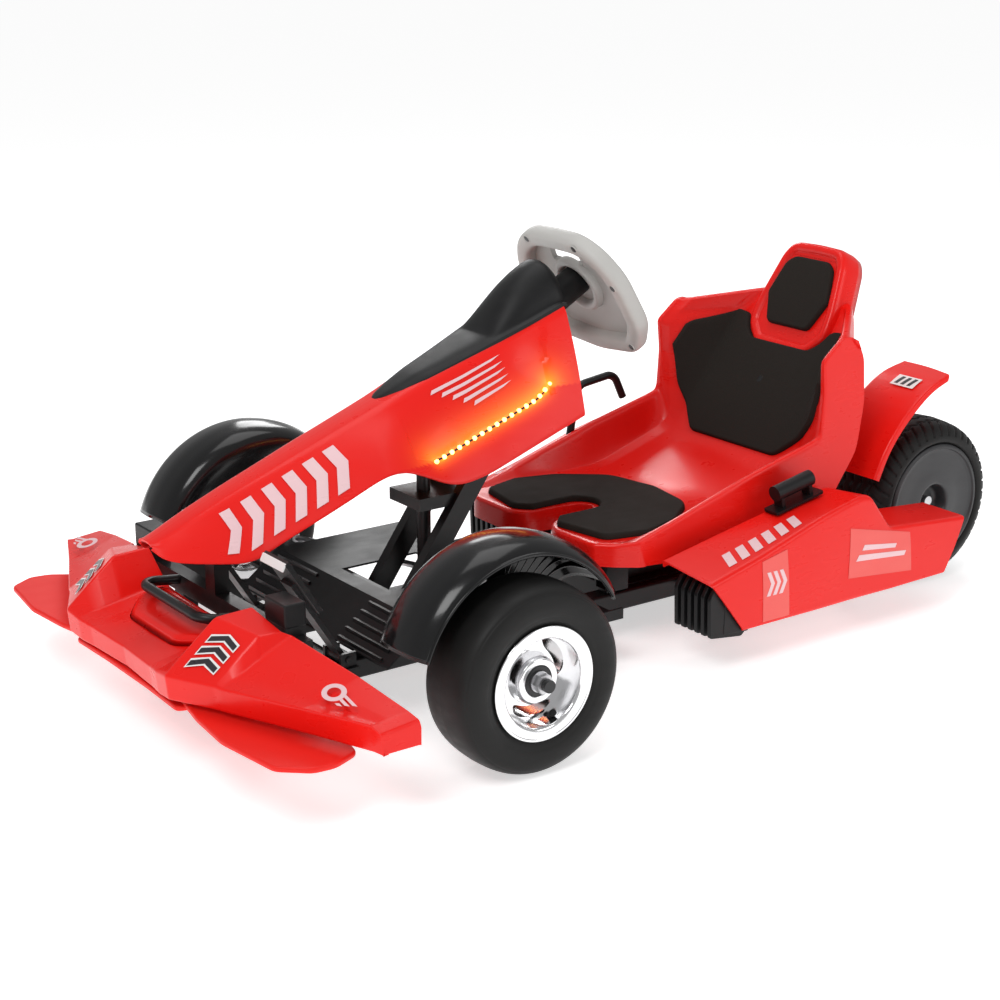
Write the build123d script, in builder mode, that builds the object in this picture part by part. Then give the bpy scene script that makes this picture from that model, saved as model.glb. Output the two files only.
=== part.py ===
"""Low electric go-kart with two foot pedals, a seat bucket, side pods and hub-motor rear wheels.

Frame: millimetres, +Z up. The kart faces -Y, its left side is +X, and the origin lies on the
ground under the middle of its overall length and width.
"""
from build123d import *
from math import atan2, cos, degrees, radians, sin
import os

os.makedirs("parts", exist_ok=True)

# ---- driving dimensions -------------------------------------------------------------
wheelbase = 960.0
front_reach = 385.0            # front axle to the bumper's foremost edge
front_tyre_r = 127.0           # 10 x 4.50-5 slick kart tyre
front_tyre_w = 100.0
front_track = 760.0            # between the front tyre centres
rear_tyre_r = 133.0
rear_tyre_w = 116.0
rear_track = 280.0             # between the rear tyre centres
bumper_half_w = 445.0
running_gap = 0.05             # radial clearance of a shaft in its bore
skin_gap = 0.4                 # between neighbouring moulded parts
panel_t = 4.0                  # wall of the moulded body panels

overall_length = front_reach + wheelbase + rear_tyre_r
front_axle_y = -overall_length / 2 + front_reach
rear_axle_y = front_axle_y + wheelbase
bumper_front_y = -overall_length / 2
# datums along the kart: nose, dash, steering and pedals follow the front axle, seat and pods the rear one
nose_datum = front_axle_y + 354.0
seat_datum = rear_axle_y - 606.0
front_wheel_x = front_track / 2
rear_wheel_x = rear_track / 2

# frame
rail_x = 95.0
rail_w = 30.0
rail_bottom_z = 48.0
rail_top_z = 78.0
rail_front_y = bumper_front_y + 120.0
rail_rear_y = rear_axle_y - rear_tyre_r - 18.0
tube_w = 30.0

# front axle and steering geometry
kingpin_x = front_wheel_x - 88.0
kingpin_r = 6.0
beam_half = 18.0               # half of the square beam's side
axle_drop = 9.0                # axle beam below the front wheels' centres
beam_z = front_tyre_r - axle_drop
bracket_t = 6.0
bracket_gap = 66.0             # between the two ears that hold the knuckle
bracket_half_y = 20.0
stub_r = 8.5                   # 17 mm stub axle
knuckle_r = 14.0
steer_arm = 62.0               # kingpin to tie rod, and spindle to tie rod
tie_rod_r = 5.0
tie_pin_r = 4.0
tie_hole_x = 14.0              # offset of each tie rod's pin from the middle of the pitman arm
arm_drop = 17.0                # steering arms below the axle beam's middle
arm_z = beam_z - arm_drop
arm_t = 6.0

# steering column: a straight tube at column_tilt above the horizontal
column_tilt = 30.0
hub_y = nose_datum + 9.0
hub_z = 525.0
column_r = 11.0
joint_z = 375.0                # where the column's axis meets the vertical spindle's axis
ball_r = 9.0
ball_offset = 16.0
spindle_r = 10.0
spindle_y = hub_y - (hub_z - joint_z) / (sin(radians(column_tilt)) / cos(radians(column_tilt)))

column_axis = Vector(0, cos(radians(column_tilt)), sin(radians(column_tilt)))
hub_point = Vector(0, hub_y, hub_z)
joint_point = Vector(0, spindle_y, joint_z)

# rim of the front wheel (5 inch)
bead_r = 63.5
flange_r = 76.5
flange_t = 3.5
flange_x = 44.0
hub_r = 26.0
bearing_outer_r = 20.0
bearing_w = 12.0
hub_half = 34.0

# seat
seat_half_w = 195.0
seat_wall = 15.0
seat_floor_z = 180.0
seat_front_y = seat_datum - 62.0
seat_under_z = 142.0
pad_t = 8.0

# side pods
pod_gap = 22.0                 # between the seat's side and the pod
pod_w = 88.0
pod_inner_x = seat_half_w + pod_gap
pod_outer_x = pod_inner_x + pod_w

# pedals
pedal_x = 115.0
pedal_w = 60.0
pedal_pivot_y = front_axle_y - 111.0
pedal_pivot_z = 92.0
pedal_length = 182.0
pedal_lean = 32.6              # lean of the pedal away from the driver, from vertical
pedal_pin_r = 5.0

left_right = (1, -1)


def save(part, node):
    """Label one finished piece and write it to its own STEP file."""
    part.label = node
    export_step(part, "parts/" + node + ".step")


def side_name(side):
    """Word for a side in a node's name: +1 is left, -1 is right."""
    return "left" if side > 0 else "right"


def sided(part, side):
    """The left-hand part itself, or its mirror image for the right-hand side."""
    return part if side > 0 else mirror(part, about=Plane.YZ)


def yz_extrude(points, x_low, x_high, datum=0):
    """A closed (y, z) outline, its y measured from a datum, extruded from x_low to x_high."""
    with BuildPart() as body:
        with BuildSketch(Plane.YZ.offset(x_low)):
            with BuildLine():
                Polyline(*[(datum + y, z) for y, z in points], close=True)
            make_face()
        extrude(amount=x_high - x_low)
    return body.part


# ---- frame ---------------------------------------------------------------------------
with BuildPart() as frame_rails:
    for side in left_right:
        with BuildSketch(Plane.XZ.offset(-rail_rear_y)) as rail_section:
            with Locations((side * rail_x, (rail_bottom_z + rail_top_z) / 2)):
                RectangleRounded(rail_w, rail_top_z - rail_bottom_z, 4)
                RectangleRounded(rail_w - 5, rail_top_z - rail_bottom_z - 5, 2, mode=Mode.SUBTRACT)
        extrude(amount=rail_rear_y - rail_front_y)
save(frame_rails.part, "frame_rails")

cross_inner = rail_x - rail_w / 2
cross_ys = (rail_front_y + tube_w / 2, pedal_pivot_y, front_axle_y, spindle_y,
            seat_datum + 40, seat_datum + 330, rail_rear_y - tube_w / 2)
post_top_z = beam_z - beam_half
pod_arm_ys = (seat_datum + 150, seat_datum + 420)
pod_arm_top_z = rail_top_z
lever_x = -(seat_half_w + pod_inner_x) / 2
lever_pivot_z = pod_arm_top_z + 14.0
lever_pin_r = 5.0
with BuildPart() as frame_crossmembers:
    for cross_y in cross_ys:
        with Locations((0, cross_y, (rail_bottom_z + rail_top_z) / 2)):
            Box(2 * cross_inner, tube_w, rail_top_z - rail_bottom_z)
    for side in left_right:
        with Locations((side * rail_x, front_axle_y, rail_top_z)):
            Box(rail_w, 2 * beam_half, post_top_z - rail_top_z,
                align=(Align.CENTER, Align.CENTER, Align.MIN))
        for arm_y in pod_arm_ys:
            arm_inner = rail_x + rail_w / 2
            arm_outer = pod_outer_x - panel_t - skin_gap
            with Locations((side * (arm_inner + arm_outer) / 2, arm_y, pod_arm_top_z - 5)):
                Box(arm_outer - arm_inner, 24, 10)
    for ear in (-1, 1):
        with Locations((lever_x + ear * 9, pod_arm_ys[0], pod_arm_top_z)):
            Box(5, 22, 24, align=(Align.CENTER, Align.CENTER, Align.MIN))
    with Locations((lever_x, pod_arm_ys[0], lever_pivot_z)):
        Cylinder(lever_pin_r, 26, rotation=(0, 90, 0))
    with Locations((0, spindle_y, 0)):
        Hole(spindle_r - 2 + running_gap)
save(frame_crossmembers.part, "frame_crossmembers")

# the front beam ends in a C-shaped bracket with two ears round each kingpin
ear_low_z = beam_z - bracket_gap / 2 + 8
ear_high_z = ear_low_z + bracket_gap
web_x = kingpin_x - 30.0
with BuildPart() as front_axle_beam:
    with Locations((0, front_axle_y, beam_z)):
        Box(2 * web_x, 2 * beam_half, 2 * beam_half)
    for side in left_right:
        with Locations((side * (web_x + bracket_t / 2), front_axle_y, ear_low_z - bracket_t)):
            Box(bracket_t, 2 * bracket_half_y, bracket_gap + 2 * bracket_t,
                align=(Align.CENTER, Align.CENTER, Align.MIN))
        for ear_z in (ear_low_z - bracket_t, ear_high_z):
            with BuildSketch(Plane.XY.offset(ear_z)):
                with Locations((side * (web_x + kingpin_x) / 2, front_axle_y)):
                    Rectangle(kingpin_x - web_x, 2 * bracket_half_y)
                with Locations((side * kingpin_x, front_axle_y)):
                    Circle(bracket_half_y)
            extrude(amount=bracket_t)
        with Locations((side * kingpin_x, front_axle_y, 0)):
            Hole(kingpin_r)
save(front_axle_beam.part, "front_axle_beam")

bolt_head = 8.0
with BuildPart() as kingpin_bolts:
    for side in left_right:
        low = ear_low_z - bracket_t - bolt_head
        with Locations((side * kingpin_x, front_axle_y, low + bolt_head)):
            Cylinder(kingpin_r, bracket_gap + 2 * bracket_t + 14,
                     align=(Align.CENTER, Align.CENTER, Align.MIN))
        with BuildSketch(Plane.XY.offset(low)):
            with Locations((side * kingpin_x, front_axle_y)):
                RegularPolygon(10, 6)
        extrude(amount=bolt_head)
        with BuildSketch(Plane.XY.offset(ear_high_z + bracket_t)):
            with Locations((side * kingpin_x, front_axle_y)):
                RegularPolygon(10, 6)
        extrude(amount=10)
save(kingpin_bolts.part, "kingpin_bolts")

# ---- floor pan: flat footwell, a hump over the front axle, ribbed foot rest in front ----
floor_half_w = 200.0
floor_t = 3.0
floor_z = rail_top_z + floor_t
hump_z = beam_z + beam_half + 7.0
hump_rear_y = spindle_y + steer_arm + 30.0
hump_front_y = front_axle_y - beam_half - 8.0
hump_foot_y = hump_rear_y + 34.0
floor_rear_y = seat_front_y + 20.0
floor_front_y = pedal_pivot_y + 22.0
toe_z = floor_z + 14.0
floor_top = [(floor_rear_y, floor_z), (hump_foot_y, floor_z), (hump_rear_y, hump_z),
             (hump_front_y, hump_z), (floor_front_y, toe_z)]
floor_under = [(y, z - floor_t) for y, z in reversed(floor_top)]
rib_count = 5
strut_foot_y = front_axle_y + 25.0
slot_half_w = 62.0
slot_front_y = strut_foot_y - 24.0
slot_rear_y = spindle_y + 26.0
with BuildPart() as floor_pan:
    add(yz_extrude(floor_top + floor_under, -floor_half_w, floor_half_w))
    for side in left_right:
        for rib in range(rib_count):
            along_toe = (rib + 0.7) / rib_count
            rib_y = hump_front_y + along_toe * (floor_front_y - hump_front_y)
            rib_z = hump_z + along_toe * (toe_z - hump_z)
            with Locations((side * 125, rib_y, rib_z + 1)):
                Box(110, 4, 6)
    for side in left_right:
        lip_length = floor_rear_y - hump_foot_y
        with Locations((side * (floor_half_w - 2), floor_rear_y - lip_length / 2, floor_z - floor_t)):
            Box(4, lip_length, 16, align=(Align.CENTER, Align.CENTER, Align.MIN))
    # slot for the spindle and the two struts
    with Locations((0, (slot_front_y + slot_rear_y) / 2, hump_z)):
        Box(2 * slot_half_w, slot_rear_y - slot_front_y, 20, mode=Mode.SUBTRACT)
save(floor_pan.part, "floor_pan")

# ---- steering support: two leaning struts and a block that carries the column ---------
strut_x = 40.0
strut_w = 16.0
strut_d = 30.0
strut_lean = 54.8              # above the horizontal
strut_foot = Vector(0, strut_foot_y, rail_top_z + 2)
plate_inner_x = strut_x - 18.0
plate_outer_x = cross_inner - 2.0
block_y = nose_datum - 95.0
block_z = hub_z + (block_y - hub_y) * column_axis.Z / column_axis.Y
block_plane = Plane(origin=(0, block_y, block_z), x_dir=(1, 0, 0), z_dir=column_axis)
strut_dir = Vector(0, cos(radians(strut_lean)), sin(radians(strut_lean)))
strut_plane = Plane(origin=strut_foot, x_dir=(1, 0, 0), z_dir=strut_dir)
block_l = 26.0
block_w = 2 * strut_x + strut_w
block_h = 46.0
guide_z = 250.0                # the spindle's upper guide
guide_h = 18.0
with BuildPart() as column_block:
    with BuildSketch(block_plane.offset(-block_l / 2)):
        Rectangle(block_w, block_h)
        Circle(column_r + running_gap, mode=Mode.SUBTRACT)
    extrude(amount=block_l)
save(column_block.part, "column_block")

strut_rise = (block_z - strut_foot.Z) / strut_dir.Z
with BuildPart() as steering_struts:
    for side in left_right:
        with BuildSketch(strut_plane):
            with Locations((side * strut_x, 0)):
                Rectangle(strut_w, strut_d)
        extrude(amount=strut_rise)
        with BuildSketch(Plane.XY.offset(rail_top_z)):
            with Locations((side * (plate_inner_x + plate_outer_x) / 2, strut_foot.Y)):
                Rectangle(plate_outer_x - plate_inner_x, 44)
        extrude(amount=5)
    # everything above the block's underside is trimmed away
    with BuildSketch(block_plane.offset(-block_l / 2 - 60)):
        with Locations((0, block_h / 2 + skin_gap - 100)):
            Rectangle(200, 200)
    extrude(amount=block_l + 120, mode=Mode.SUBTRACT)
    # the cross plate that guides the spindle
    guide_reach = (guide_z - strut_foot.Z) / strut_dir.Z * strut_dir.Y
    guide_rear = strut_foot.Y + guide_reach
    guide_front = spindle_y - 20
    with Locations((0, (guide_rear + guide_front) / 2, guide_z)):
        Box(2 * strut_x, abs(guide_rear - guide_front) + 24, guide_h)
    with Locations((0, spindle_y, guide_z)):
        Cylinder(spindle_r + running_gap, 4 * guide_h, mode=Mode.SUBTRACT)
save(steering_struts.part, "steering_struts")

# ---- steering column, double joint, spindle with its pitman arm -----------------------
upper_ball = joint_point + column_axis * ball_offset
lower_ball = joint_point - Vector(0, 0, ball_offset)
neck_r = 6.0
column_plane = Plane(origin=upper_ball, x_dir=(1, 0, 0), z_dir=column_axis)
column_length = (hub_point - upper_ball).length - 14
with BuildPart() as steering_column:
    with Locations(column_plane):
        Sphere(ball_r)
        Cylinder(neck_r, 20, align=(Align.CENTER, Align.CENTER, Align.MIN))
    with BuildSketch(column_plane.offset(17)):
        Circle(column_r)
    extrude(amount=column_length - 17)
save(steering_column.part, "steering_column")

coupler_dir = (upper_ball - lower_ball).normalized()
coupler_r = 13.0
with BuildPart() as steering_coupler:
    with BuildSketch(Plane(origin=lower_ball, x_dir=(1, 0, 0), z_dir=coupler_dir)):
        Circle(coupler_r)
    extrude(amount=(upper_ball - lower_ball).length)
    with Locations(upper_ball, lower_ball):
        Sphere(ball_r + running_gap, mode=Mode.SUBTRACT)
save(steering_coupler.part, "steering_coupler")

spindle_foot_z = rail_bottom_z + 4
rod_eye_h = 12.0
with BuildPart() as steering_spindle:
    with Locations((0, spindle_y, spindle_foot_z)):
        Cylinder(spindle_r - 2, rail_top_z + 2 - spindle_foot_z,
                 align=(Align.CENTER, Align.CENTER, Align.MIN))
    with Locations((0, spindle_y, rail_top_z + 2)):
        Cylinder(spindle_r, lower_ball.Z - 16 - rail_top_z - 2,
                 align=(Align.CENTER, Align.CENTER, Align.MIN))
    with Locations(lower_ball):
        Sphere(ball_r)
    with Locations((0, spindle_y, lower_ball.Z - 22)):
        Cylinder(neck_r, 22, align=(Align.CENTER, Align.CENTER, Align.MIN))
    with BuildSketch(Plane.XY.offset(arm_z)):
        with BuildLine():
            Polyline((-17, spindle_y - 14), (17, spindle_y - 14), (26, spindle_y + steer_arm + 10),
                     (-26, spindle_y + steer_arm + 10), close=True)
        make_face()
    extrude(amount=arm_t)
    for side in left_right:
        with Locations((side * tie_hole_x, spindle_y + steer_arm, arm_z + arm_t)):
            Cylinder(tie_pin_r, rod_eye_h + 5, align=(Align.CENTER, Align.CENTER, Align.MIN))
save(steering_spindle.part, "steering_spindle")

# ---- steered knuckles, tie rods, mudguards --------------------------------------------
rod_z = arm_z + arm_t + 1 + rod_eye_h / 2
arm_end = Vector(kingpin_x + tie_hole_x, front_axle_y + steer_arm, 0)
pitman_end = Vector(tie_hole_x, spindle_y + steer_arm, 0)
stub_end_x = front_wheel_x + 58.0
stub_shoulder_x = front_wheel_x - hub_half - 1.0
rod_eye_r = 9.0
guard_crest_r = front_tyre_r + 51.0
guard_edge_r = front_tyre_r + 33.0
guard_skirt_r = front_tyre_r - 17.0         # foot of the inner side's skirt
guard_half_w = front_tyre_w / 2 + 2.0
guard_x = front_wheel_x - 42.0
guard_front = 18.0
guard_rear = 152.0
guard_t = 3.0


def knuckle(side):
    """Left-hand knuckle: kingpin tube, stub axle and steering arm, mirrored for the right."""
    with BuildPart() as body:
        with Locations((kingpin_x, front_axle_y, ear_low_z + 0.3)):
            Cylinder(knuckle_r, bracket_gap - 0.6, align=(Align.CENTER, Align.CENTER, Align.MIN))
        with BuildSketch(Plane.YZ.offset(kingpin_x)):
            with Locations((front_axle_y, front_tyre_r)):
                Circle(12)
        extrude(amount=stub_shoulder_x - kingpin_x)
        with BuildSketch(Plane.YZ.offset(kingpin_x)):
            with Locations((front_axle_y, front_tyre_r)):
                Circle(stub_r)
        extrude(amount=stub_end_x - kingpin_x)
        with BuildSketch(Plane.XY.offset(arm_z)):
            with BuildLine():
                Polyline((kingpin_x - 11, front_axle_y), (kingpin_x + 11, front_axle_y),
                         (arm_end.X + 10, arm_end.Y), (arm_end.X + 6, arm_end.Y + 10),
                         (arm_end.X - 6, arm_end.Y + 10), (arm_end.X - 10, arm_end.Y), close=True)
            make_face()
        extrude(amount=arm_t)
        with Locations((arm_end.X, arm_end.Y, arm_z + arm_t)):
            Cylinder(tie_pin_r - 0.5, rod_eye_h + 4, align=(Align.CENTER, Align.CENTER, Align.MIN))
        with Locations((kingpin_x, front_axle_y, 0)):
            Hole(kingpin_r + running_gap)
    return sided(body.part, side)


def tie_rod(side):
    """Left-hand tie rod with an eye on the pitman arm and an open eye on the knuckle's arm."""
    span = arm_end - pitman_end
    middle = (arm_end + pitman_end) * 0.5
    with BuildPart() as body:
        with BuildSketch(Plane.XY.offset(rod_z - rod_eye_h / 2)):
            with Locations((arm_end.X, arm_end.Y), (pitman_end.X, pitman_end.Y)):
                Circle(rod_eye_r)
        extrude(amount=rod_eye_h)
        with Locations(Plane(origin=(middle.X, middle.Y, rod_z), x_dir=span.normalized(), z_dir=(0, 0, 1))):
            Cylinder(tie_rod_r, span.length - 12, rotation=(0, 90, 0))
        with Locations((pitman_end.X, pitman_end.Y, 0)):
            Hole(tie_pin_r + running_gap)
        with Locations((arm_end.X, arm_end.Y, 0)):
            Hole(tie_pin_r + 0.6)
    return sided(body.part, side)


def mudguard(side):
    """Left-hand guard: a domed band swept about the wheel's axis, on a stay from the knuckle."""
    with BuildPart() as body:
        with BuildSketch(Plane(origin=(0, front_axle_y, front_tyre_r), x_dir=(1, 0, 0), z_dir=(0, 0, -1))):
            with BuildLine():
                ThreePointArc((guard_x - guard_half_w, guard_edge_r), (guard_x, guard_crest_r),
                              (guard_x + guard_half_w, guard_edge_r))
                Line((guard_x + guard_half_w, guard_edge_r),
                     (guard_x + guard_half_w, guard_edge_r - guard_t))
                ThreePointArc((guard_x + guard_half_w, guard_edge_r - guard_t),
                              (guard_x, guard_crest_r - guard_t),
                              (guard_x - guard_half_w, guard_edge_r - guard_t))
                Polyline((guard_x - guard_half_w, guard_edge_r - guard_t),
                         (guard_x - guard_half_w, guard_skirt_r),
                         (guard_x - guard_half_w - guard_t, guard_skirt_r),
                         (guard_x - guard_half_w - guard_t, guard_edge_r - guard_t),
                         (guard_x - guard_half_w, guard_edge_r))
            make_face()
        turn_axis = Axis((0, front_axle_y, front_tyre_r), (-1, 0, 0))
        revolve(axis=turn_axis, revolution_arc=guard_rear - guard_front)
    turned = body.part.rotate(Axis((0, front_axle_y, front_tyre_r), (1, 0, 0)), -guard_front)
    with BuildPart() as finished:
        add(turned)
        # flat stay: up the inner side of the wheel, from the stub's root to under the crest
        stay_x = front_wheel_x - front_tyre_w / 2 - 8
        with Locations((stay_x, front_axle_y, front_tyre_r)):
            Box(5, 34, guard_crest_r - guard_t - 0.5, align=(Align.CENTER, Align.CENTER, Align.MIN))
        with Locations((stay_x, front_axle_y, front_tyre_r)):
            Cylinder(17, 5, rotation=(0, 90, 0))
            Cylinder(12, 30, rotation=(0, 90, 0), mode=Mode.SUBTRACT)
    return sided(finished.part, side)


for side in left_right:
    save(knuckle(side), "knuckle_" + side_name(side))
    save(tie_rod(side), "tie_rod_" + side_name(side))
    save(mudguard(side), "mudguard_" + side_name(side))


# ---- front wheels ----------------------------------------------------------------------
wheel_axis = Axis((0, 0, 0), (1, 0, 0))


def spun(points):
    """Solid of revolution about X from an (x, radius) outline."""
    with BuildPart() as body:
        with BuildSketch(Plane.XY):
            with BuildLine():
                Polyline(*points, close=True)
            make_face()
        revolve(axis=wheel_axis)
    return body.part


def at_front_wheel(part, side):
    """Moves a part built about the origin to the front wheel's centre."""
    return sided(part.moved(Location((front_wheel_x, front_axle_y, front_tyre_r))), side)


with BuildPart() as rim_shape:
    add(spun([(-flange_x - flange_t, flange_r), (-flange_x, flange_r), (-flange_x, bead_r),
              (flange_x, bead_r), (flange_x, flange_r), (flange_x + flange_t, flange_r),
              (flange_x + flange_t, bead_r - 4), (-flange_x - flange_t, bead_r - 4)]))
    add(spun([(-hub_half, 0), (-hub_half, hub_r), (8, hub_r), (8, bead_r - 2), (15, bead_r - 2),
              (18, hub_r + 4), (hub_half, hub_r), (hub_half, 0)]))
    with BuildSketch(Plane.YZ.offset(5)):
        with PolarLocations(0, 3):
            SlotArc(arc=CenterArc((0, 0), 45, 8, 74), height=22)
    extrude(amount=20, mode=Mode.SUBTRACT)
    with BuildSketch(Plane.YZ.offset(-hub_half - 1)):
        Circle(bearing_outer_r - 3)
    extrude(amount=2 * hub_half + 2, mode=Mode.SUBTRACT)
    for seat_x in (-hub_half - 1, hub_half - bearing_w):
        with BuildSketch(Plane.YZ.offset(seat_x)):
            Circle(bearing_outer_r)
        extrude(amount=bearing_w + 1, mode=Mode.SUBTRACT)
    # valve stem
    with Locations((flange_x - 8, 0, -(bead_r - 12))):
        Cylinder(3, 26, rotation=(0, 75, 0))

tyre_half = front_tyre_w / 2
bead_gap = 0.2
with BuildPart() as tyre_shape:
    outline = [(flange_x - bead_gap, bead_r + bead_gap), (flange_x - bead_gap, flange_r + 1),
               (tyre_half, flange_r + 16), (tyre_half, front_tyre_r - 18), (tyre_half - 5, front_tyre_r - 5),
               (tyre_half - 14, front_tyre_r)]
    cavity = [(tyre_half - 20, front_tyre_r - 9), (tyre_half - 9, front_tyre_r - 18),
              (tyre_half - 9, flange_r + 14), (flange_x - 12, bead_r + bead_gap)]
    outer = outline + [(-x, r) for x, r in reversed(outline)]
    add(spun(outer + [(-x, r) for x, r in reversed(cavity)] + cavity))

with BuildPart() as bearing_shape:
    for bearing_x in (-hub_half, hub_half - bearing_w):
        with BuildSketch(Plane.YZ.offset(bearing_x)):
            Circle(bearing_outer_r)
            Circle(stub_r + running_gap, mode=Mode.SUBTRACT)
        extrude(amount=bearing_w)

with BuildPart() as nut_shape:
    with BuildSketch(Plane.YZ.offset(hub_half + 0.5)):
        Circle(14)
        Circle(stub_r, mode=Mode.SUBTRACT)
    extrude(amount=2.5)
    with BuildSketch(Plane.YZ.offset(hub_half + 3)):
        RegularPolygon(13, 6)
        Circle(stub_r, mode=Mode.SUBTRACT)
    extrude(amount=13)

for side in left_right:
    save(at_front_wheel(rim_shape.part, side), "front_rim_" + side_name(side))
    save(at_front_wheel(tyre_shape.part, side), "front_tyre_" + side_name(side))
    save(at_front_wheel(bearing_shape.part, side), "wheel_bearings_" + side_name(side))
    save(at_front_wheel(nut_shape.part, side), "axle_nut_" + side_name(side))

# ---- rear wheels: tyre on the shell of a hub motor ---------------------------------------
motor_r = 98.0
motor_axle_r = 8.0
recess_r = 24.0
motor_half = rear_tyre_w / 2 - 6


def at_rear_wheel(part, side):
    """Moves a part built about the origin to the rear wheel's centre."""
    return sided(part.moved(Location((rear_wheel_x, rear_axle_y, rear_tyre_r))), side)


with BuildPart() as rotor_shape:
    add(spun([(-motor_half, motor_axle_r + running_gap), (-motor_half, 46), (-motor_half + 12, motor_r - 8),
              (-motor_half + 12, motor_r), (motor_half - 4, motor_r), (motor_half, motor_r - 5),
              (motor_half, recess_r + 4), (motor_half - 3, recess_r), (motor_half - 22, recess_r),
              (motor_half - 22, motor_axle_r + running_gap)]))

rear_half = rear_tyre_w / 2
with BuildPart() as rear_tyre_shape:
    tread = [(motor_half - 6, motor_r + bead_gap), (motor_half + 2, motor_r + 4), (rear_half, motor_r + 14),
             (rear_half - 4, rear_tyre_r - 10), (rear_half - 12, rear_tyre_r - 3), (rear_half - 24, rear_tyre_r)]
    add(spun(tread + [(-x, r) for x, r in reversed(tread)]))

axle_inner_x = 38.0
with BuildPart() as motor_axles:
    for side in left_right:
        with BuildSketch(Plane.YZ.offset(side * axle_inner_x)):
            with Locations((rear_axle_y, rear_tyre_r)):
                Circle(motor_axle_r)
        extrude(amount=side * (rear_wheel_x + motor_half - 10 - axle_inner_x))

for side in left_right:
    save(at_rear_wheel(rotor_shape.part, side), "motor_shell_" + side_name(side))
    save(at_rear_wheel(rear_tyre_shape.part, side), "rear_tyre_" + side_name(side))
save(motor_axles.part, "motor_axles")

plate_x = 52.0
plate_t = 8.0
rear_bolts_x = 60.0            # accessory holes in the rear plate
rear_bolts_z = 22.0
rear_bolt_r = 4.25
with BuildPart() as rear_axle_bracket:
    for side in left_right:
        with BuildSketch(Plane.YZ.offset(side * plate_x - plate_t / 2)):
            with BuildLine():
                Polyline((rail_rear_y, rail_bottom_z), (rear_axle_y + 40, rear_tyre_r - 28),
                         (rear_axle_y + 40, rear_tyre_r + 26), (rear_axle_y - 40, rear_tyre_r + 26),
                         (rail_rear_y, rail_top_z + 24), close=True)
            make_face()
            with Locations((rear_axle_y, rear_tyre_r)):
                Circle(motor_axle_r, mode=Mode.SUBTRACT)
        extrude(amount=plate_t)
    with Locations((0, rail_rear_y + 6, (rail_bottom_z + rail_top_z) / 2 + 12)):
        Box(2 * plate_x, 12, 54)
    with Locations((0, rear_axle_y + 34, rear_tyre_r)):
        Box(2 * plate_x, 12, 40)
    with Locations(Plane(origin=(0, rear_axle_y + 40, rear_tyre_r), x_dir=(1, 0, 0), z_dir=(0, 1, 0))):
        with GridLocations(rear_bolts_x, rear_bolts_z, 2, 2):
            Hole(rear_bolt_r, depth=12)
save(rear_axle_bracket.part, "rear_axle_bracket")

# ---- battery and controller under the seat -----------------------------------------------
battery_y = seat_datum + 175
with BuildPart() as battery_pack:
    with Locations((0, battery_y, rail_top_z + 4)):
        Box(150, 240, 50, align=(Align.CENTER, Align.CENTER, Align.MIN))
    fillet(battery_pack.edges().filter_by(Axis.Z), 10)
save(battery_pack.part, "battery_pack")

with BuildPart() as battery_tray:
    with Locations((0, battery_y, rail_top_z)):
        Box(2 * rail_x, 250, 3, align=(Align.CENTER, Align.CENTER, Align.MIN))
save(battery_tray.part, "battery_tray")

with BuildPart() as motor_controller:
    with Locations((0, rail_rear_y - 40, rail_top_z + 2)):
        Box(100, 60, 34, align=(Align.CENTER, Align.CENTER, Align.MIN))
    for fin in range(7):
        with Locations((-39 + 13 * fin, rail_rear_y - 40, rail_top_z + 36)):
            Box(4, 60, 8, align=(Align.CENTER, Align.CENTER, Align.MIN))
save(motor_controller.part, "motor_controller")

# ---- seat shell: side profile cut out by a narrower inner profile, open at front and top ----
# (y from the seat's datum, z)
seat_bend = 200.0
wing_y = 343.0
back_low = (338.0, 227.0)      # front face of the back rest, bottom and top
back_high = (470.0, 424.0)
head_low = (450.0, 400.0)
head_high = (508.0, 515.0)
shoulder_z = 424.0
seat_top_z = 543.0
seat_skin = 22.0
head_half_w = 78.0
notch_half_w = 24.0
notch_depth = 118.0
seat_front = seat_front_y - seat_datum
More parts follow.
